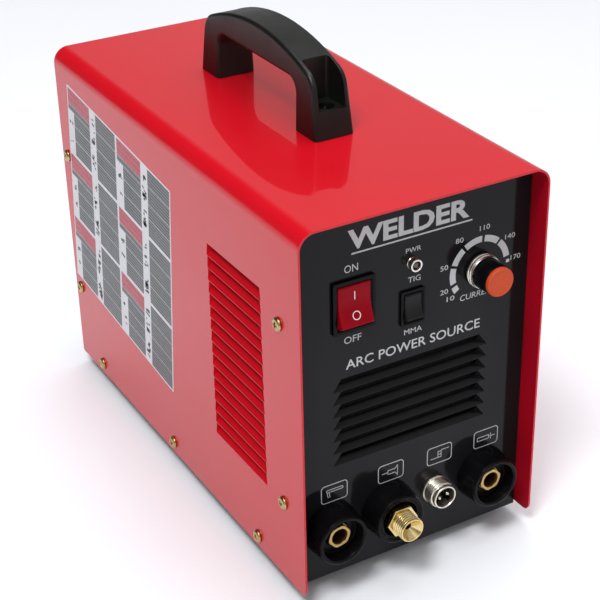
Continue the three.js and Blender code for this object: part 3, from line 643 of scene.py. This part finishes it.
def make_front_panel():
    sheet = Sheet()
    face = PANEL_Y - CASE_Y
    half = PANEL[1].x / MM
    bottom, top = PANEL[0].z / MM - CASE_Z, PANEL[1].z / MM - CASE_Z
    r = BEND_R - SHEET
    bottoms = louvre_bottoms(*FRONT_LOUVRES)

    def at(u, v, w=0.0):
        return (u, face + w, v)

    left, right = sheet.louvres(at, bottoms, FRONT_SLIT, FRONT_HALF, FRONT_HALF_TOP)
    field_top = bottoms[-1] + LOUVRE_H
    shoulder = top - r
    for sign, edge in ((-1, left), (1, right)):
        sheet.face([at(sign * half, bottoms[0]), at(sign * half, field_top)]
                   + [at(u, v) for u, v in edge[::-1]])
    bend = quarter(8)
    upper = [at(half, field_top)]
    upper += [at(half - r + r * cos(a), shoulder + r * sin(a)) for a in bend]
    upper += [at(-half + r - r * cos(a), shoulder + r * sin(a)) for a in bend[::-1]]
    upper += [at(-half, field_top), at(-FRONT_HALF_TOP, field_top), at(FRONT_HALF_TOP, field_top)]
    sheet.face(upper)
    sheet.face([at(-half, bottom), at(half, bottom), at(half, bottoms[0]), at(FRONT_HALF, bottoms[0]),
                at(-FRONT_HALF, bottoms[0]), at(-half, bottoms[0])])
    levels = [bottom, bottoms[0], field_top, shoulder]
    for x in (-half, half):
        for z0, z1 in zip(levels, levels[1:]):
            sheet.face([at(x, z0), at(x, z1), at(x, z1, PANEL_FLANGE), at(x, z0, PANEL_FLANGE)])
    sheet.face([at(-half, bottom), at(half, bottom), at(half - 1, bottom, SHEET),
                at(1 - half, bottom, SHEET)])
    sheet_piece("case_front_panel", sheet, "panel", "panel", "front_panel", 0.35)


def make_shade_pads():
    """Black pads behind the louvres, which hide the inside: painted shade, dark sheets that stand for
    the shadow inside the case.
    """
    depth = LOUVRE_DEPTH + SHEET + 0.6
    y = CASE_Y + sum(SIDE_FIELD) / 2
    for side, at, (w, h, z) in (("front", (0, PANEL_Y + depth), FRONT_PAD),
                                ("left", (depth - HALF_W, y), SIDE_PAD),
                                ("right", (HALF_W - depth, y), SIDE_PAD)):
        # each pad is a dark sheet standing for the shade behind the louvres
        piece(f"shade_pad_{side}", [prism(rectangle(w, h, 4), -1.4, 0)],
              facing(side, *at, CASE_Z + z), None, "foam", bevel=0.4, segments=2)


# ---- Handle ----

LEG_R = 13                        # corners where the legs meet the crown
CROWN_R = 157                     # arched top
LEAN = radians(8.5)               # of the legs' outer faces
GRIP_HALF, GRIP_HEIGHT, GRIP_R = 46.8, 29, 8  # opening under the bow
TOP_WIDTH = 22.4 / 25.5           # as a share of the width at the foot
GRIP_ROUND = 2.4                  # rounding of the bow's long edges
SCREW_PLACE = 59.5                # along the handle, from its middle
HEAD_HOLE, SHANK_HOLE = (5.4, 11.5), (2.9, -2)  # radius and bottom of each screw's holes
POCKET_START, POCKET_WIDTH, POCKET_FLOOR = 48.7, 17, 15.5


def handle_outline(half, height):
    """Side outline of the handle's bow, as points along the case and up."""
    up = Vector((-sin(LEAN), cos(LEAN)))
    out = Vector((cos(LEAN), sin(LEAN)))
    crown = Vector((0, height - CROWN_R))
    start = Vector((half, 0)) - out * LEG_R
    q = start - crown
    along = q.dot(up)
    corner = start + up * (-along + sqrt(along ** 2 - q.length_squared + (CROWN_R - LEG_R) ** 2))
    tangent = atan2(corner.y - crown.y, corner.x)

    def arc(x, y, r, a, b, steps):
        angles = [a + (b - a) * k / steps for k in range(steps + 1)]
        return [(x + r * cos(t), y + r * sin(t)) for t in angles]

    right = [(half, 0)] + arc(corner.x, corner.y, LEG_R, LEAN, tangent, 12)
    right += arc(0, crown.y, CROWN_R, tangent, pi / 2, 8)[1:]
    left = [(-y, z) for y, z in right[:-1]][::-1]
    inner = [(-GRIP_HALF, 0)]
    inner += arc(-GRIP_HALF + GRIP_R, GRIP_HEIGHT - GRIP_R, GRIP_R, pi, pi / 2, 8)
    inner += [(-y, z) for y, z in inner[::-1]]
    return right + left + inner


def make_handle():
    low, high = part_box("handle")
    width, length, height = (high - low) / MM
    base, middle, half = low.z / MM, (low.y + high.y) / 2 / MM, length / 2
    place = Matrix.Scale(MM, 4) @ Matrix.Translation((0, middle, base))
    sideways = Matrix(((0, 0, 1, 0), (1, 0, 0, 0), (0, 1, 0, 0), (0, 0, 0, 1)))
    data = mesh_of("bow", [prism(handle_outline(half, height), -width / 2, width / 2)],
                   place @ sideways)
    weights = data.attributes.new("bevel_weight_edge", "FLOAT", "EDGE")
    for edge in data.edges:
        a, b = (data.vertices[i].co for i in edge.vertices)
        flat_side = abs(a.x - b.x) < 1e-7
        on_floor = max(a.z, b.z) < low.z + 1e-4
        weights.data[edge.index].value = 1.0 if flat_side and not on_floor else 0.0
    work = new_object("work", data)
    round_off = work.modifiers.new("bevel", "BEVEL")
    round_off.width, round_off.segments, round_off.limit_method = GRIP_ROUND * MM, 6, "WEIGHT"
    bpy.context.view_layer.update()
    bow = baked(work)
    bpy.data.objects.remove(work)
    for v in bow.vertices:
        v.co.x *= 1 - (1 - TOP_WIDTH) * (v.co.z / MM - base) / height
    pocket_end = half + 6
    pocket_mid, pocket_len = (POCKET_START + pocket_end) / 2, pocket_end - POCKET_START
    for end in (-1, 1):
        pocket = rectangle(POCKET_WIDTH, pocket_len, 2.2, 0, end * pocket_mid)
        cutters = [prism(pocket, POCKET_FLOOR, height + 6)]
        for (r, bottom), sides in ((HEAD_HOLE, 40), (SHANK_HOLE, 24)):
            cutters.append(prism(circle(r, 0, end * SCREW_PLACE, sides), bottom, 20))
        for cutter in cutters:
            bow = carved(bow, mesh_of("cutter", [cutter], place))
    mesh_piece("carry_handle", bow, "handle", "handle", ["handle"], bevel=0.5, segments=2,
               bevel_angle=38)


# ---- Fasteners ----

def cross_head(r, h, recess):
    """Pan head with a cross recess, standing on local z = 0."""
    head = turned([(0, 0), (r, 0), (r, h * 0.42), (r * 0.8, h * 0.85), (r * 0.4, h), (0, h)], 40, 0.5)
    body = mesh_of("head", [head], Matrix.Identity(4))
    for turn in (45, 135):
        slot = [(-recess, -0.42), (recess, -0.42), (recess, 0.42), (-recess, 0.42)]
        cutter = prism([(a * 0.55, b * 0.8) for a, b in slot], h * 0.3, h + 0.3, 1.9)
        body = carved(body, mesh_of("slot", [cutter], Matrix.Rotation(radians(turn), 4, "Z")))
    return body


def fixed_at(name, shared, matrix, look, replaces=()):
    data = shared.copy()
    data.transform(matrix)
    mesh_piece(name, data, "zinc_screws", look, replaces, smooth=35)


def make_screws():
    head = cross_head(4, 2.2, 2.1)
    for number in range(1, 15):
        node = f"hood_screw_{number:02d}"
        at = centre_of(node)
        side, x = ("left", -HALF_W) if at.x < 0 else ("right", HALF_W)
        place = facing(side, x, at.y, at.z, 37 * number % 90)
        fixed_at(f"side_{node[5:]}", head, place, "zinc", [node])
    dark_height = 2.9
    dark = cross_head(4.6, dark_height, 2.4)
    for end in ("front", "rear"):
        node = f"handle_screw_{end}"
        at, top = centre_of(node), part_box(node)[1].z / MM
        fixed_at(f"grip_screw_{end}", dark, facing("up", at.x, at.y, top - dark_height, 20),
                 "dark_screw", [node])


def make_feet():
    rings = [(0, 2.5), (3, 2.5), (3.4, 0), (8.4, 0), (9.5, 1.4), (9.1, 7.6), (3, 7.7), (3, 9.5),
             (4.2, 9.7), (2.5, 13.5), (0, 13.5)]
    for number in range(1, 5):
        node = f"foot_{number}"
        at = centre_of(node)
        piece(f"rubber_{node}", [turned(rings, 48, 0.5)], facing("up", at.x, at.y, 0), "rubber",
              "rubber", [node])


# ---- Front panel's controls ----

ROCKER_TILT = radians(10)
CREST = 3.3                       # height of a rocker's valley over its axis
GAP = 0.3                         # between a rocker and its bezel


def make_switch(name, w, h, rim, lip, slot, look):
    """Bezel and rocker; returns the rocker's matrix and how far its faces reach up and down."""
    place = on_front(f"{name}_housing")
    inner_w, inner_h = w - 2 * rim, h - 2 * rim
    outer, inner = rectangle(w, h, 1.2), rectangle(inner_w, inner_h, 0.5)
    step = rectangle(inner_w + 1.4, inner_h + 1.4, 0.8)
    tub = rectangle(w - rim, h - rim, 0.8)
    shapes = [frame_prism(outer, step, 0.0, lip), frame_prism(outer, inner, 0.0, lip - 0.5),
              frame_prism(tub, inner, -13, 0.2), prism(tub, -13.6, -12.8)]
    piece(f"{name}_bezel", shapes, place, "black_plastic", "plastic", [f"{name}_housing"],
          bevel=0.3)

    # Rocker: two faces that meet in a shallow valley, turned about a line behind the bezel's face
    slope = tan(ROCKER_TILT)
    radius = reach = inner_h / 2 - GAP
    for _ in range(8):
        reach = sqrt(radius ** 2 - (CREST + reach * slope) ** 2)
    tip, under = atan2(CREST + reach * slope, reach), radians(-22)
    profile = [(reach * k / 6, CREST + reach * k / 6 * slope - 0.25 * sin(pi * k / 6))
               for k in range(6)]
    profile += [(radius * cos(a), radius * sin(a)) for a in
                (tip + (under - tip) * k / 8 for k in range(9))]
    # outline is (up the panel, out of the panel); local axes are x right, y up, z out
    outline = [(-a, b) for a, b in profile[:0:-1]] + profile
    verts, faces = prism(outline, -(inner_w / 2 - GAP), inner_w / 2 - GAP)
    rock = place @ Matrix.Translation((0, 0, lip - 3.0)) @ Matrix.Rotation(-ROCKER_TILT, 4, "X")
    piece(f"{name}_key", [([(c, a, b) for a, b, c in verts], faces)], rock, slot, look,
          [f"{name}_rocker"], f"{name}_rocker", bevel=0.6, segments=4, bevel_angle=50)
    return rock, reach


def make_switches():
    rock, reach = make_switch("power", 26, 31, 2.75, 2, "red_rocker", "rocker")
    height = CREST + reach * 0.5 * tan(ROCKER_TILT) - 0.2
    marks = []
    for sign, shape in ((1, prism(rectangle(0.5, 4.8), 0, 0.12)),
                        (-1, frame_prism(circle(2.45, sides=40), circle(2.0, sides=40), 0, 0.12))):
        marks.append(spun(shape, Matrix.Translation((0, sign * reach * 0.5, height))
                          @ Matrix.Rotation(sign * ROCKER_TILT, 4, "X")))
    piece("power_marks", marks, rock, None, "mark", body="power_rocker", smooth=30)
    make_switch("mode", 15.4, 21.2, 2.1, 1.6, "black_plastic", "matte")


def make_lamp():
    place = on_front("lamp_holder")
    holder = [(2.5, -8), (2.9, -8), (2.9, 0), (3.6, 0), (3.6, 0.9), (3.3, 1.3), (3.3, 4.2), (3.6, 4.5),
              (3.6, 5), (2.6, 5), (2.5, 3.9)]
    piece("lamp_ring", [turned(holder, 48, 0.25)], place, "nickel", "nickel", ["lamp_holder"])
    lens = [(0, -6), (2.2, -6), (2.2, 3.2), (1.5, 4.0), (0, 4.4)]
    piece("lamp_dome", [turned(lens, 40, 0.6, 5)], place, "lamp_lens", "lens", ["lamp_lens"])


def make_knob():
    place = on_front("knob_cap")
    ring = [(8.6, 1.2), (9.8, 1.2), (10, 1.6), (10, 2.7), (9.6, 3.1), (9.6, 3.3), (10, 3.7), (10, 4.5),
            (9.6, 4.9), (9.6, 5.1), (9.9, 5.4), (9.5, 6.3), (8.6, 6.3)]
    body = [(0, 16.1), (3.3, 16.1), (3.3, 4.6), (7, 4.6), (7, 1.2), (8.4, 1.2), (8.4, 6.6), (9.3, 6.6),
            (9.1, 9), (8.7, 16.7), (0, 16.7)]
    cap = [(0, 16.8), (8.2, 16.8), (8.5, 17.3), (8.5, 18.9), (8.0, 19.7), (7.3, 19.7), (6.9, 19.3),
           (0, 19.3)]
    piece("knob_skirt", [turned(ring, 96)], place, "nickel", "nickel", ["knob_ring"], "current_knob",
          smooth=20)
    piece("knob_grip", [turned(body, 72, 0.35)], place, "black_plastic", "plastic", ["knob_body"],
          "current_knob")
    piece("knob_top", [turned(cap, 72, 0.5, 5)], place, "orange_cap", "orange", ["knob_cap"],
          "current_knob")


# ---- Sockets ----

def threads(r, depth, h0, h1, pitch):
    """Profile points of a threaded length, as rings."""
    count = max(1, round((h1 - h0) / pitch))
    step = (h1 - h0) / count
    points = []
    for k in range(count):
        h = h0 + k * step
        points += [(r - depth, h), (r - depth, h + step * 0.15), (r, h + step * 0.5),
                   (r, h + step * 0.65)]
    return points + [(r - depth, h1)]


def make_socket_housing(node, name, mouth=None):
    """Insulated housing; a mouth radius gives it a thin collar inside its rim."""
    place = on_front(node)
    front = PANEL_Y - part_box(node)[0].y / MM
    lip = [(12.9, front - 0.5), (12.5, front - 0.9), (mouth, front - 0.9), (mouth, front - 8.5)] if (
        mouth) else [(12.8, front - 0.7), (12.4, front - 8.5)]
    profile = [(7.6, -14), (14, -14), (14, 0), (17, 0), (17, 0.8), (15.6, front - 1.8),
               (15.2, front - 0.4), (14.6, front), (13.4, front), *lip, (7.6, front - 8.5)]
    piece(name, [turned(profile, 96, 0.5)], place, "black_plastic", "plastic", [node])
    return place


def make_sockets():
    bore = [(0, -10.4), (4.88, -10.4)] + threads(4.88, 0.35, -10, 9.3, 1.2)
    bore += [(4.95, 9.6), (4.95, -10.5), (0, -10.5)]
    rim = [Vector(p) for p in dense(circle(7.75, sides=6, turn=12), 1.0)]
    rim = [tuple(p * min(1, 7.2 / p.length)) for p in rim]
    contact = [turned([(4.9, -10.5), (7.2, -10.5), (7.2, 8.0), (4.9, 8.0)], 64, 0.2),
               bored(rim, 4.9, 6.0, 10.5),
               turned([(0, -30), (5, -30), (5, -19.3), (10, -19.3), (10, -14.3), (0, -14.3)], 32)]
    for side in ("left", "right"):
        place = make_socket_housing(f"socket_housing_{side}", f"socket_body_{side}")
        piece(f"contact_{side}", contact, place, "brass", "contact", [f"socket_contact_{side}"],
              bevel=0.45)
        # the bore's darkened brass is painted shade in the hole
        piece(f"contact_bore_{side}", [turned(bore, 48)], place, "brass", "dull_brass")
    place = make_socket_housing("torch_socket_housing", "torch_socket_body", 11.2)
    piece("torch_nut", [bored(hexagon(20.2, 0.9, 2), 5.2, 8.5, 17.5)], place, "brass", "brass",
          bevel=0.7)
    tube = [(3.2, -28), (5, -28), (5, -19.3), (10, -19.3), (10, -14.3), (6.6, -14.3), (6.6, 17.4)]
    tube += threads(7.5, 0.65, 17.5, 25.6, 1.75)
    tube += [(7.4, 26.1), (7.4, 26.6), (7.0, 27), (6.5, 27), (2.1, 22), (2.1, 12), (3.2, 12)]
    piece("torch_fitting", [turned(tube, 72)], place, "brass", "brass", ["torch_gas_fitting"],
          smooth=28)
    bore = [(2.08, 21.7), (1.8, 21.7), (1.8, 12.3), (2.08, 12.3)]
    # the bore's darkened brass is painted shade in the hole
    piece("torch_bore", [turned(bore, 32)], place, "brass", "dull_brass")


def make_control_socket():
    place = on_front("control_socket_shell")
    shell = [(6.3, -12), (7.2, -12), (7.2, 0), (8.9, 0), (8.9, 1.2)]
    shell += threads(8.5, 0.22, 1.6, 7.4, 1.45)
    shell += [(8.2, 8.0), (7.6, 8.3), (7.4, 8.6), (7.4, 10.6), (7.1, 11), (6.5, 11), (6.3, 10.6)]
    piece("control_shell", [turned(shell, 72, 0.2)], place, "nickel", "satin",
          ["control_socket_shell"])
    plug = [(0, -14), (6.25, -14), (6.25, 4.0), (5.6, 4.4), (0, 4.4)]
    key = moved(prism(rectangle(2.2, 1.6, 0.4), 4, 9), 4.2, -3.9)
    piece("control_insert", [turned(plug, 56, 0.3), key], place, "black_plastic", "plastic",
          ["control_socket_insert"])
    pin = turned([(0, 4), (1.05, 4), (1.05, 8.9), (0.6, 9.6), (0, 9.7)], 24, 0.3)
    pins = [moved(pin, side * 2.7, side * 0.65) for side in (-1, 1)]
    piece("control_pins", pins, place, "nickel", "nickel")


# ---- Print on the front panel ----

def lettering(body, x0, x1, z0, z1, bold=0.0, shear=0.0):
    """Text fitted to a box, as a shape on the panel in the case's millimetres."""
    curve = bpy.data.curves.new("text", "FONT")
    curve.body, curve.size, curve.offset, curve.extrude = body, 1.0, bold, 0.02
    curve.shear, curve.resolution_u = shear, 3
    text = new_object("text", curve)
    bpy.context.view_layer.update()
    data = baked(text)
    bpy.data.objects.remove(text)
    xs, ys, zs = zip(*[tuple(v.co) for v in data.vertices])
    sx, sz = (x1 - x0) / (max(xs) - min(xs)), (z1 - z0) / (max(ys) - min(ys))
    verts = [(x0 + (x - min(xs)) * sx, z0 + (y - min(ys)) * sz, INK if z > 0 else 0.0)
             for x, y, z in zip(xs, ys, zs)]
    return verts, [list(p.vertices) for p in data.polygons]


SCALE_IN, SCALE_OUT = 16, 19.8    # radii of the knob's scale
ICON_W, ICON_H, ICON_Z = 16.7, 11.5, 54  # symbols' size, and height over the case's bottom


def sector(cx, cz, r0, r1, a0, a1):
    """Part of a ring of ink between two radii and two angles."""
    steps = max(2, int(abs(a1 - a0) / 4))
    angles = [radians(a0 + (a1 - a0) * k / steps) for k in range(steps + 1)]
    outline = [(cx + r1 * cos(a), cz + r1 * sin(a)) for a in angles]
    outline += [(cx + r0 * cos(a), cz + r0 * sin(a)) for a in angles[::-1]]
    return prism(outline, 0, INK)


def make_print():
    lines = (("WELDER", -40.4, 35.3, 201.5, 213, 0.035), ("ON", -42.6, -34.3, 189, 193.4),
             ("OFF", -43, -32.3, 146.8, 151), ("PWR", -4.8, 4.8, 190.2, 193),
             ("TIG", -3.2, 4.8, 172.3, 175.6), ("MMA", -5.2, 6.2, 140.8, 144),
             ("ARC POWER SOURCE", -42, 45, 130.8, 136.6, 0.006),
             ("CURRENT", 31, 55.5, 151, 154.6, 0.0, 0.12))
    shapes = [lettering(*line) for line in lines]
    shapes.append(ribbon([(-38.2, 199.3), (37.3, 199.3)], 0.9))
    knob = centre_of("knob_cap")
    cx, cz = knob.x, knob.z - CASE_Z
    for start, end in ((195.5, 165), (160, 128.5), (123, 87.5), (82, 50.5), (46, 9), (214, 202)):
        shapes.append(sector(cx, cz, SCALE_IN, SCALE_OUT, start, end))
    shapes.append(sector(cx, cz, 17.6, SCALE_OUT, 2, -4))
    for number, angle, r in (("10", 215, 23), ("20", 199, 24.5), ("50", 164, 24.5), ("80", 124, 25),
                             ("110", 84.5, 24.5), ("140", 37, 24.5), ("170", 2, 24)):
        x, z = cx + r * cos(radians(angle)), cz + r * sin(radians(angle))
        half = (1.25, 1.1)[len(number) > 2] * len(number)
        shapes.append(lettering(number, x - half, x + half, z - 1.5, z + 1.5))
    boxes = [
        (-50.1, [[(-5, 2.5), (5.5, 2.5)], [(-5, 1), (5.5, 1), (5.5, 2.5)], [(-5, 2.5), (-4, -2.5)],
                 [(-3.4, 1), (-2.8, -2.5)]]),
        (-12.9, [[(-6, 0), (-2, 0)], [(-2, 1.3), (3, 1.3)], [(-2, -1.3), (3, -1.3)],
                 [(-2, 1.3), (-2, -1.3)], [(3, 1.3), (4.5, 3.5)],
                 [(3, -1.3), (4.5, -3.5), (4.5, 3.5)]]),
        (20.2, [[(-6, -2), (-1, -2), (-1, 2), (1.2, 2), (1.2, -2), (-1, -2)], [(-1, 0), (1.2, 0)],
                [(1.2, 2.6), (6.5, 2.6)]]),
        (52.8, [[(-6, 1.2), (2, 1.2), (2, -1.2), (-6, -1.2), (-6, 1.2)], [(2, 0), (6.5, 0)],
                [(3.4, 2), (3.4, -2)]]),
    ]
    for x, lines in boxes:
        shapes.append(ribbon(rectangle(ICON_W, ICON_H, 2.0, x, ICON_Z), 0.5, closed=True))
        shapes += [ribbon([(x + a, ICON_Z + b) for a, b in line], 0.42) for line in lines]
    piece("front_print", shapes, facing("front", 0, PANEL_Y, CASE_Z), None, "print", smooth=20)


# ---- Label on the left side ----

LABEL_W, LABEL_H, LABEL_GAP = 152, 145, 1.3
LABEL_Y, LABEL_Z = 230.9, 127.8   # its centre, from the hood's front and bottom edges
PAPER = 0.1                       # thickness of the label
# (kind, left, right, bottom, top) as shares of a panel
TILES = [("header", 0.0, 0.465, 0.76, 1.0), ("block", 0.0, 0.465, 0.67, 0.75)]
TILES += [("block", 0.12, 0.465, *span) for span in ((0.47, 0.66), (0.24, 0.46), (0.0, 0.23))]
TILES += [("block", 0.60, 1.0, *span) for span in ((0.76, 1.0), (0.49, 0.75), (0.27, 0.48),
                                                   (0.0, 0.26))]
# Patches of marks: (share across the panel, share up it, half height in mm, number of strokes)
MARKS = [(0.535, 0.84, 2.5, 3), (0.535, 0.6, 4.5, 9), (0.535, 0.2, 6, 15), (0.055, 0.46, 2.5, 4),
         (0.055, 0.2, 2.5, 3)]


def make_label():
    """Six panels of unreadable small print, each with a red heading and two columns of dark marks."""
    chance = random.Random(5)
    cell_w, cell_h = LABEL_W / 2, LABEL_H / 3
    w, h = cell_w - 2 * LABEL_GAP, cell_h - 2 * LABEL_GAP
    place = facing("left", -HALF_W, CASE_Y + LABEL_Y, CASE_Z + LABEL_Z, -LABEL_TILT)
    shapes = {"paper": [prism(rectangle(LABEL_W, LABEL_H, 0.8), 0, PAPER)], "header": [], "block": [],
              "mark_ink": []}
    for col, row in ((col, row) for col in range(2) for row in range(3)):
        left, low = (col - 1) * cell_w + LABEL_GAP, (row - 1.5) * cell_h + LABEL_GAP
        for kind, x0, x1, y0, y1 in TILES:
            outline = rectangle((x1 - x0) * w, (y1 - y0) * h, 0.0, left + (x0 + x1) / 2 * w,
                                low + (y0 + y1) / 2 * h)
            shapes[kind].append(prism(outline, PAPER / 2, 0.16))
        for share, height, spread, strokes in MARKS:
            x, y = left + share * w, low + height * h
            for _ in range(strokes):
                start = (x + chance.uniform(-3, 3), y + chance.uniform(-spread, spread))
                end = (x + chance.uniform(-3, 3), start[1] + chance.uniform(-1.5, 1.5))
                if abs(end[0] - start[0]) > 0.8:
                    stroke = ribbon([start, end], chance.uniform(0.8, 2.0), 0.11)
                    shapes["mark_ink"].append(moved(stroke, z=PAPER / 2))
    for kind, parts in shapes.items():
        piece(f"label_{kind}", parts, place, None, kind, smooth=20)


# ---- Rear fittings ----

BLADES, BLADE_ROWS, BLADE_COLS = 7, 8, 5
BLADE_ROOT, BLADE_TIP = 18, 55    # radii
WIRE = 1.1                        # radius of the guard's wire
GUARD_RINGS = (13, 27, 41, 55)
FAN_HOLE = 52.5                   # fixing holes' distance from the fan's axis, each way


def blade(number, depth):
    """Twisted, curved blade as a thin block of rows by columns."""
    verts, faces = [], []
    for i in range(BLADE_ROWS + 1):
        out = i / BLADE_ROWS
        r = BLADE_ROOT + (BLADE_TIP - BLADE_ROOT) * i / BLADE_ROWS
        chord = radians(44 - 8 * i / BLADE_ROWS)
        for j in range(BLADE_COLS + 1):
            t = j / BLADE_COLS - 0.5
            a = radians(360 / BLADES * number) + chord * t + 0.25 * out ** 2
            h = -depth / 2 - t * (depth - 4) + 1.5 * cos(pi * t)
            verts += [(r * cos(a), r * sin(a), h + thick) for thick in (-0.6, 0.6)]

    def vid(i, j, side):
        return (i * (BLADE_COLS + 1) + j) * 2 + side

    rows, cols = range(BLADE_ROWS), range(BLADE_COLS)
    faces += [[vid(i, j, s), vid(i + 1, j, s), vid(i + 1, j + 1, s), vid(i, j + 1, s)]
              for i in rows for j in cols for s in (0, 1)]
    faces += [[vid(i, j, 0), vid(i + 1, j, 0), vid(i + 1, j, 1), vid(i, j, 1)]
              for i in rows for j in (0, BLADE_COLS)]
    faces += [[vid(i, j, 0), vid(i, j + 1, 0), vid(i, j + 1, 1), vid(i, j, 1)]
              for j in cols for i in (0, BLADE_ROWS)]
    return verts, faces


def make_rotor():
    low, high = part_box("fan_rotor")
    depth = (high.y - low.y) / MM
    at = centre_of("fan_rotor")
    hub = [(0, -depth), (16, -depth), (19, -depth + 2), (19, -2), (17.5, 0), (0, 0)]
    shapes = [turned(hub, 64, 1.0)] + [blade(k, depth) for k in range(BLADES)]
    piece("fan_wheel", shapes, facing("rear", at.x, high.y / MM, at.z), "black_plastic", "fan",
          ["fan_rotor"], "fan_rotor", smooth=45)


def make_guard():
    at, back = centre_of("fan_guard"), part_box("fan_guard")[0].y / MM
    shapes = [turned([(r + x, 2.5 + y) for x, y in circle(WIRE, sides=12)], 96) for r in GUARD_RINGS]
    for angle in (45, 135):
        verts, faces = prism(circle(WIRE, sides=12), -70, 70)
        shapes.append(spun(([(c, a, b + WIRE) for a, b, c in verts], faces),
                           Matrix.Rotation(radians(angle), 4, "Z")))
    eye = turned([(2.2, 0), (4.2, 0), (4.2, 2 * WIRE), (2.2, 2 * WIRE)], 32, 0.5)
    shapes += [moved(eye, sx * FAN_HOLE, sz * FAN_HOLE) for sx in (-1, 1) for sz in (-1, 1)]
    piece("wire_guard", shapes, facing("rear", at.x, back, at.z), "nickel", "nickel",
          ["fan_guard"])
    head = cross_head(3.6, 1.6, 1.9)
    for n, (sx, sz) in enumerate(((-1, -1), (1, -1), (-1, 1), (1, 1))):
        place = facing("rear", at.x + sx * FAN_HOLE, back + 2 * WIRE, at.z + sz * FAN_HOLE, 17 * n)
        fixed_at(f"guard_screw_{n + 1}", head, place, "zinc")


def make_rear_fittings():
    dome = [(6.2, -12), (9.9, -12), (9.9, -6.5), (13, -6.5), (13, -1.5), (9.9, -1.5), (9.9, 0),
            (11.4, 0), (11.4, 16.5), (10.6, 20), (8.8, 23.4), (8, 24), (6.4, 24), (6.2, 23)]
    rib = prism(rectangle(1.0, 1.2, 0.2), 8.2, 16.2)
    ribs = [spun(rib, Matrix.Rotation(2 * pi * k / 18, 4, "Z") @ Matrix.Translation((11.3, 0, 0)))
            for k in range(18)]
    barb = [(3.1, -7), (6, -7), (6, 5.6), (4.6, 6.5)]
    for k in range(3):
        barb += [(5.4, 8.5 + 4 * k), (4.5, 12.2 + 4 * k)]
    barb += [(4.3, 22), (3.1, 22)]
    rod = [(0, -12), (2.7, -12)] + threads(3, 0.35, -6, 11.5, 1.0) + [(2.4, 12), (0, 12)]
    washer = [(2.6, 0), (6.2, 0), (6.2, 1), (2.6, 1)]
    piece("gland_body", [bored(hexagon(27, 1.0, 3, 8), 9, 0, 6.4), turned(dome, 72, 0.6)] + ribs,
          on_rear("cable_gland"), "black_plastic", "plastic", ["cable_gland"], smooth=32)
    piece("hose_barb", [bored(hexagon(16.8, 0.6, 2), 4, 0.2, 6), turned(barb, 56, 0.25)],
          on_rear("gas_inlet"), "brass", "brass", ["gas_inlet"], smooth=32)
    piece("ground_stud", [bored(hexagon(11.5, 0.5, 2), 2.6, 1.2, 5), turned(washer, 40, 0.2),
                          turned(rod, 40)],
          on_rear("earth_stud"), "nickel", "nickel", ["earth_stud"], smooth=32)


# ---- CAD pieces that keep their shape ----

# (look, edge rounding in mm, nodes)
KEPT = (
    ("panel", 0.3, ("base_tray", "rear_panel")), ("plastic", 0.6, ("fan_frame",)),
    ("aluminium", 0.3, ("potentiometer",)), ("nickel", 0.2, ("potentiometer_shaft",)),
    ("brass", 0.6, ("gas_valve",)), ("board", 0.2, ("inverter_board", "control_board")),
    ("aluminium", 0.2, ("heatsink_left", "heatsink_right")), ("winding", 1.5, ("transformer",)),
    ("core", 1.0, ("output_choke",)), ("winding", 0.5, ("arc_starting_coil",)),
    ("sleeve", 1.0, ("capacitor_front", "capacitor_rear")),
)


def dress_kept_nodes():
    for look, rounding, names in KEPT:
        for thing in (frame["nodes"][name] for name in names):
            thing.data.materials.clear()
            thing.data.materials.append(LOOK[look])
            round_edges(thing, rounding, 2, 50)


make_camera()
bpy.context.scene.view_settings.view_transform = "Standard"
make_floor()
make_world()
make_light("key", at=(-1.0, -0.8, 2.25), aim=(0, 0, 0.12), size=0.7, power=34)
make_light("top", at=(0.3, 0.2, 2.4), aim=(0, 0, 0.1), size=1.2, power=19)

make_hood()
make_front_panel()
make_shade_pads()
make_handle()
make_screws()
make_feet()
make_switches()
make_lamp()
make_knob()
make_sockets()
make_control_socket()
make_print()
make_label()
make_rotor()
make_guard()
make_rear_fittings()
dress_kept_nodes()
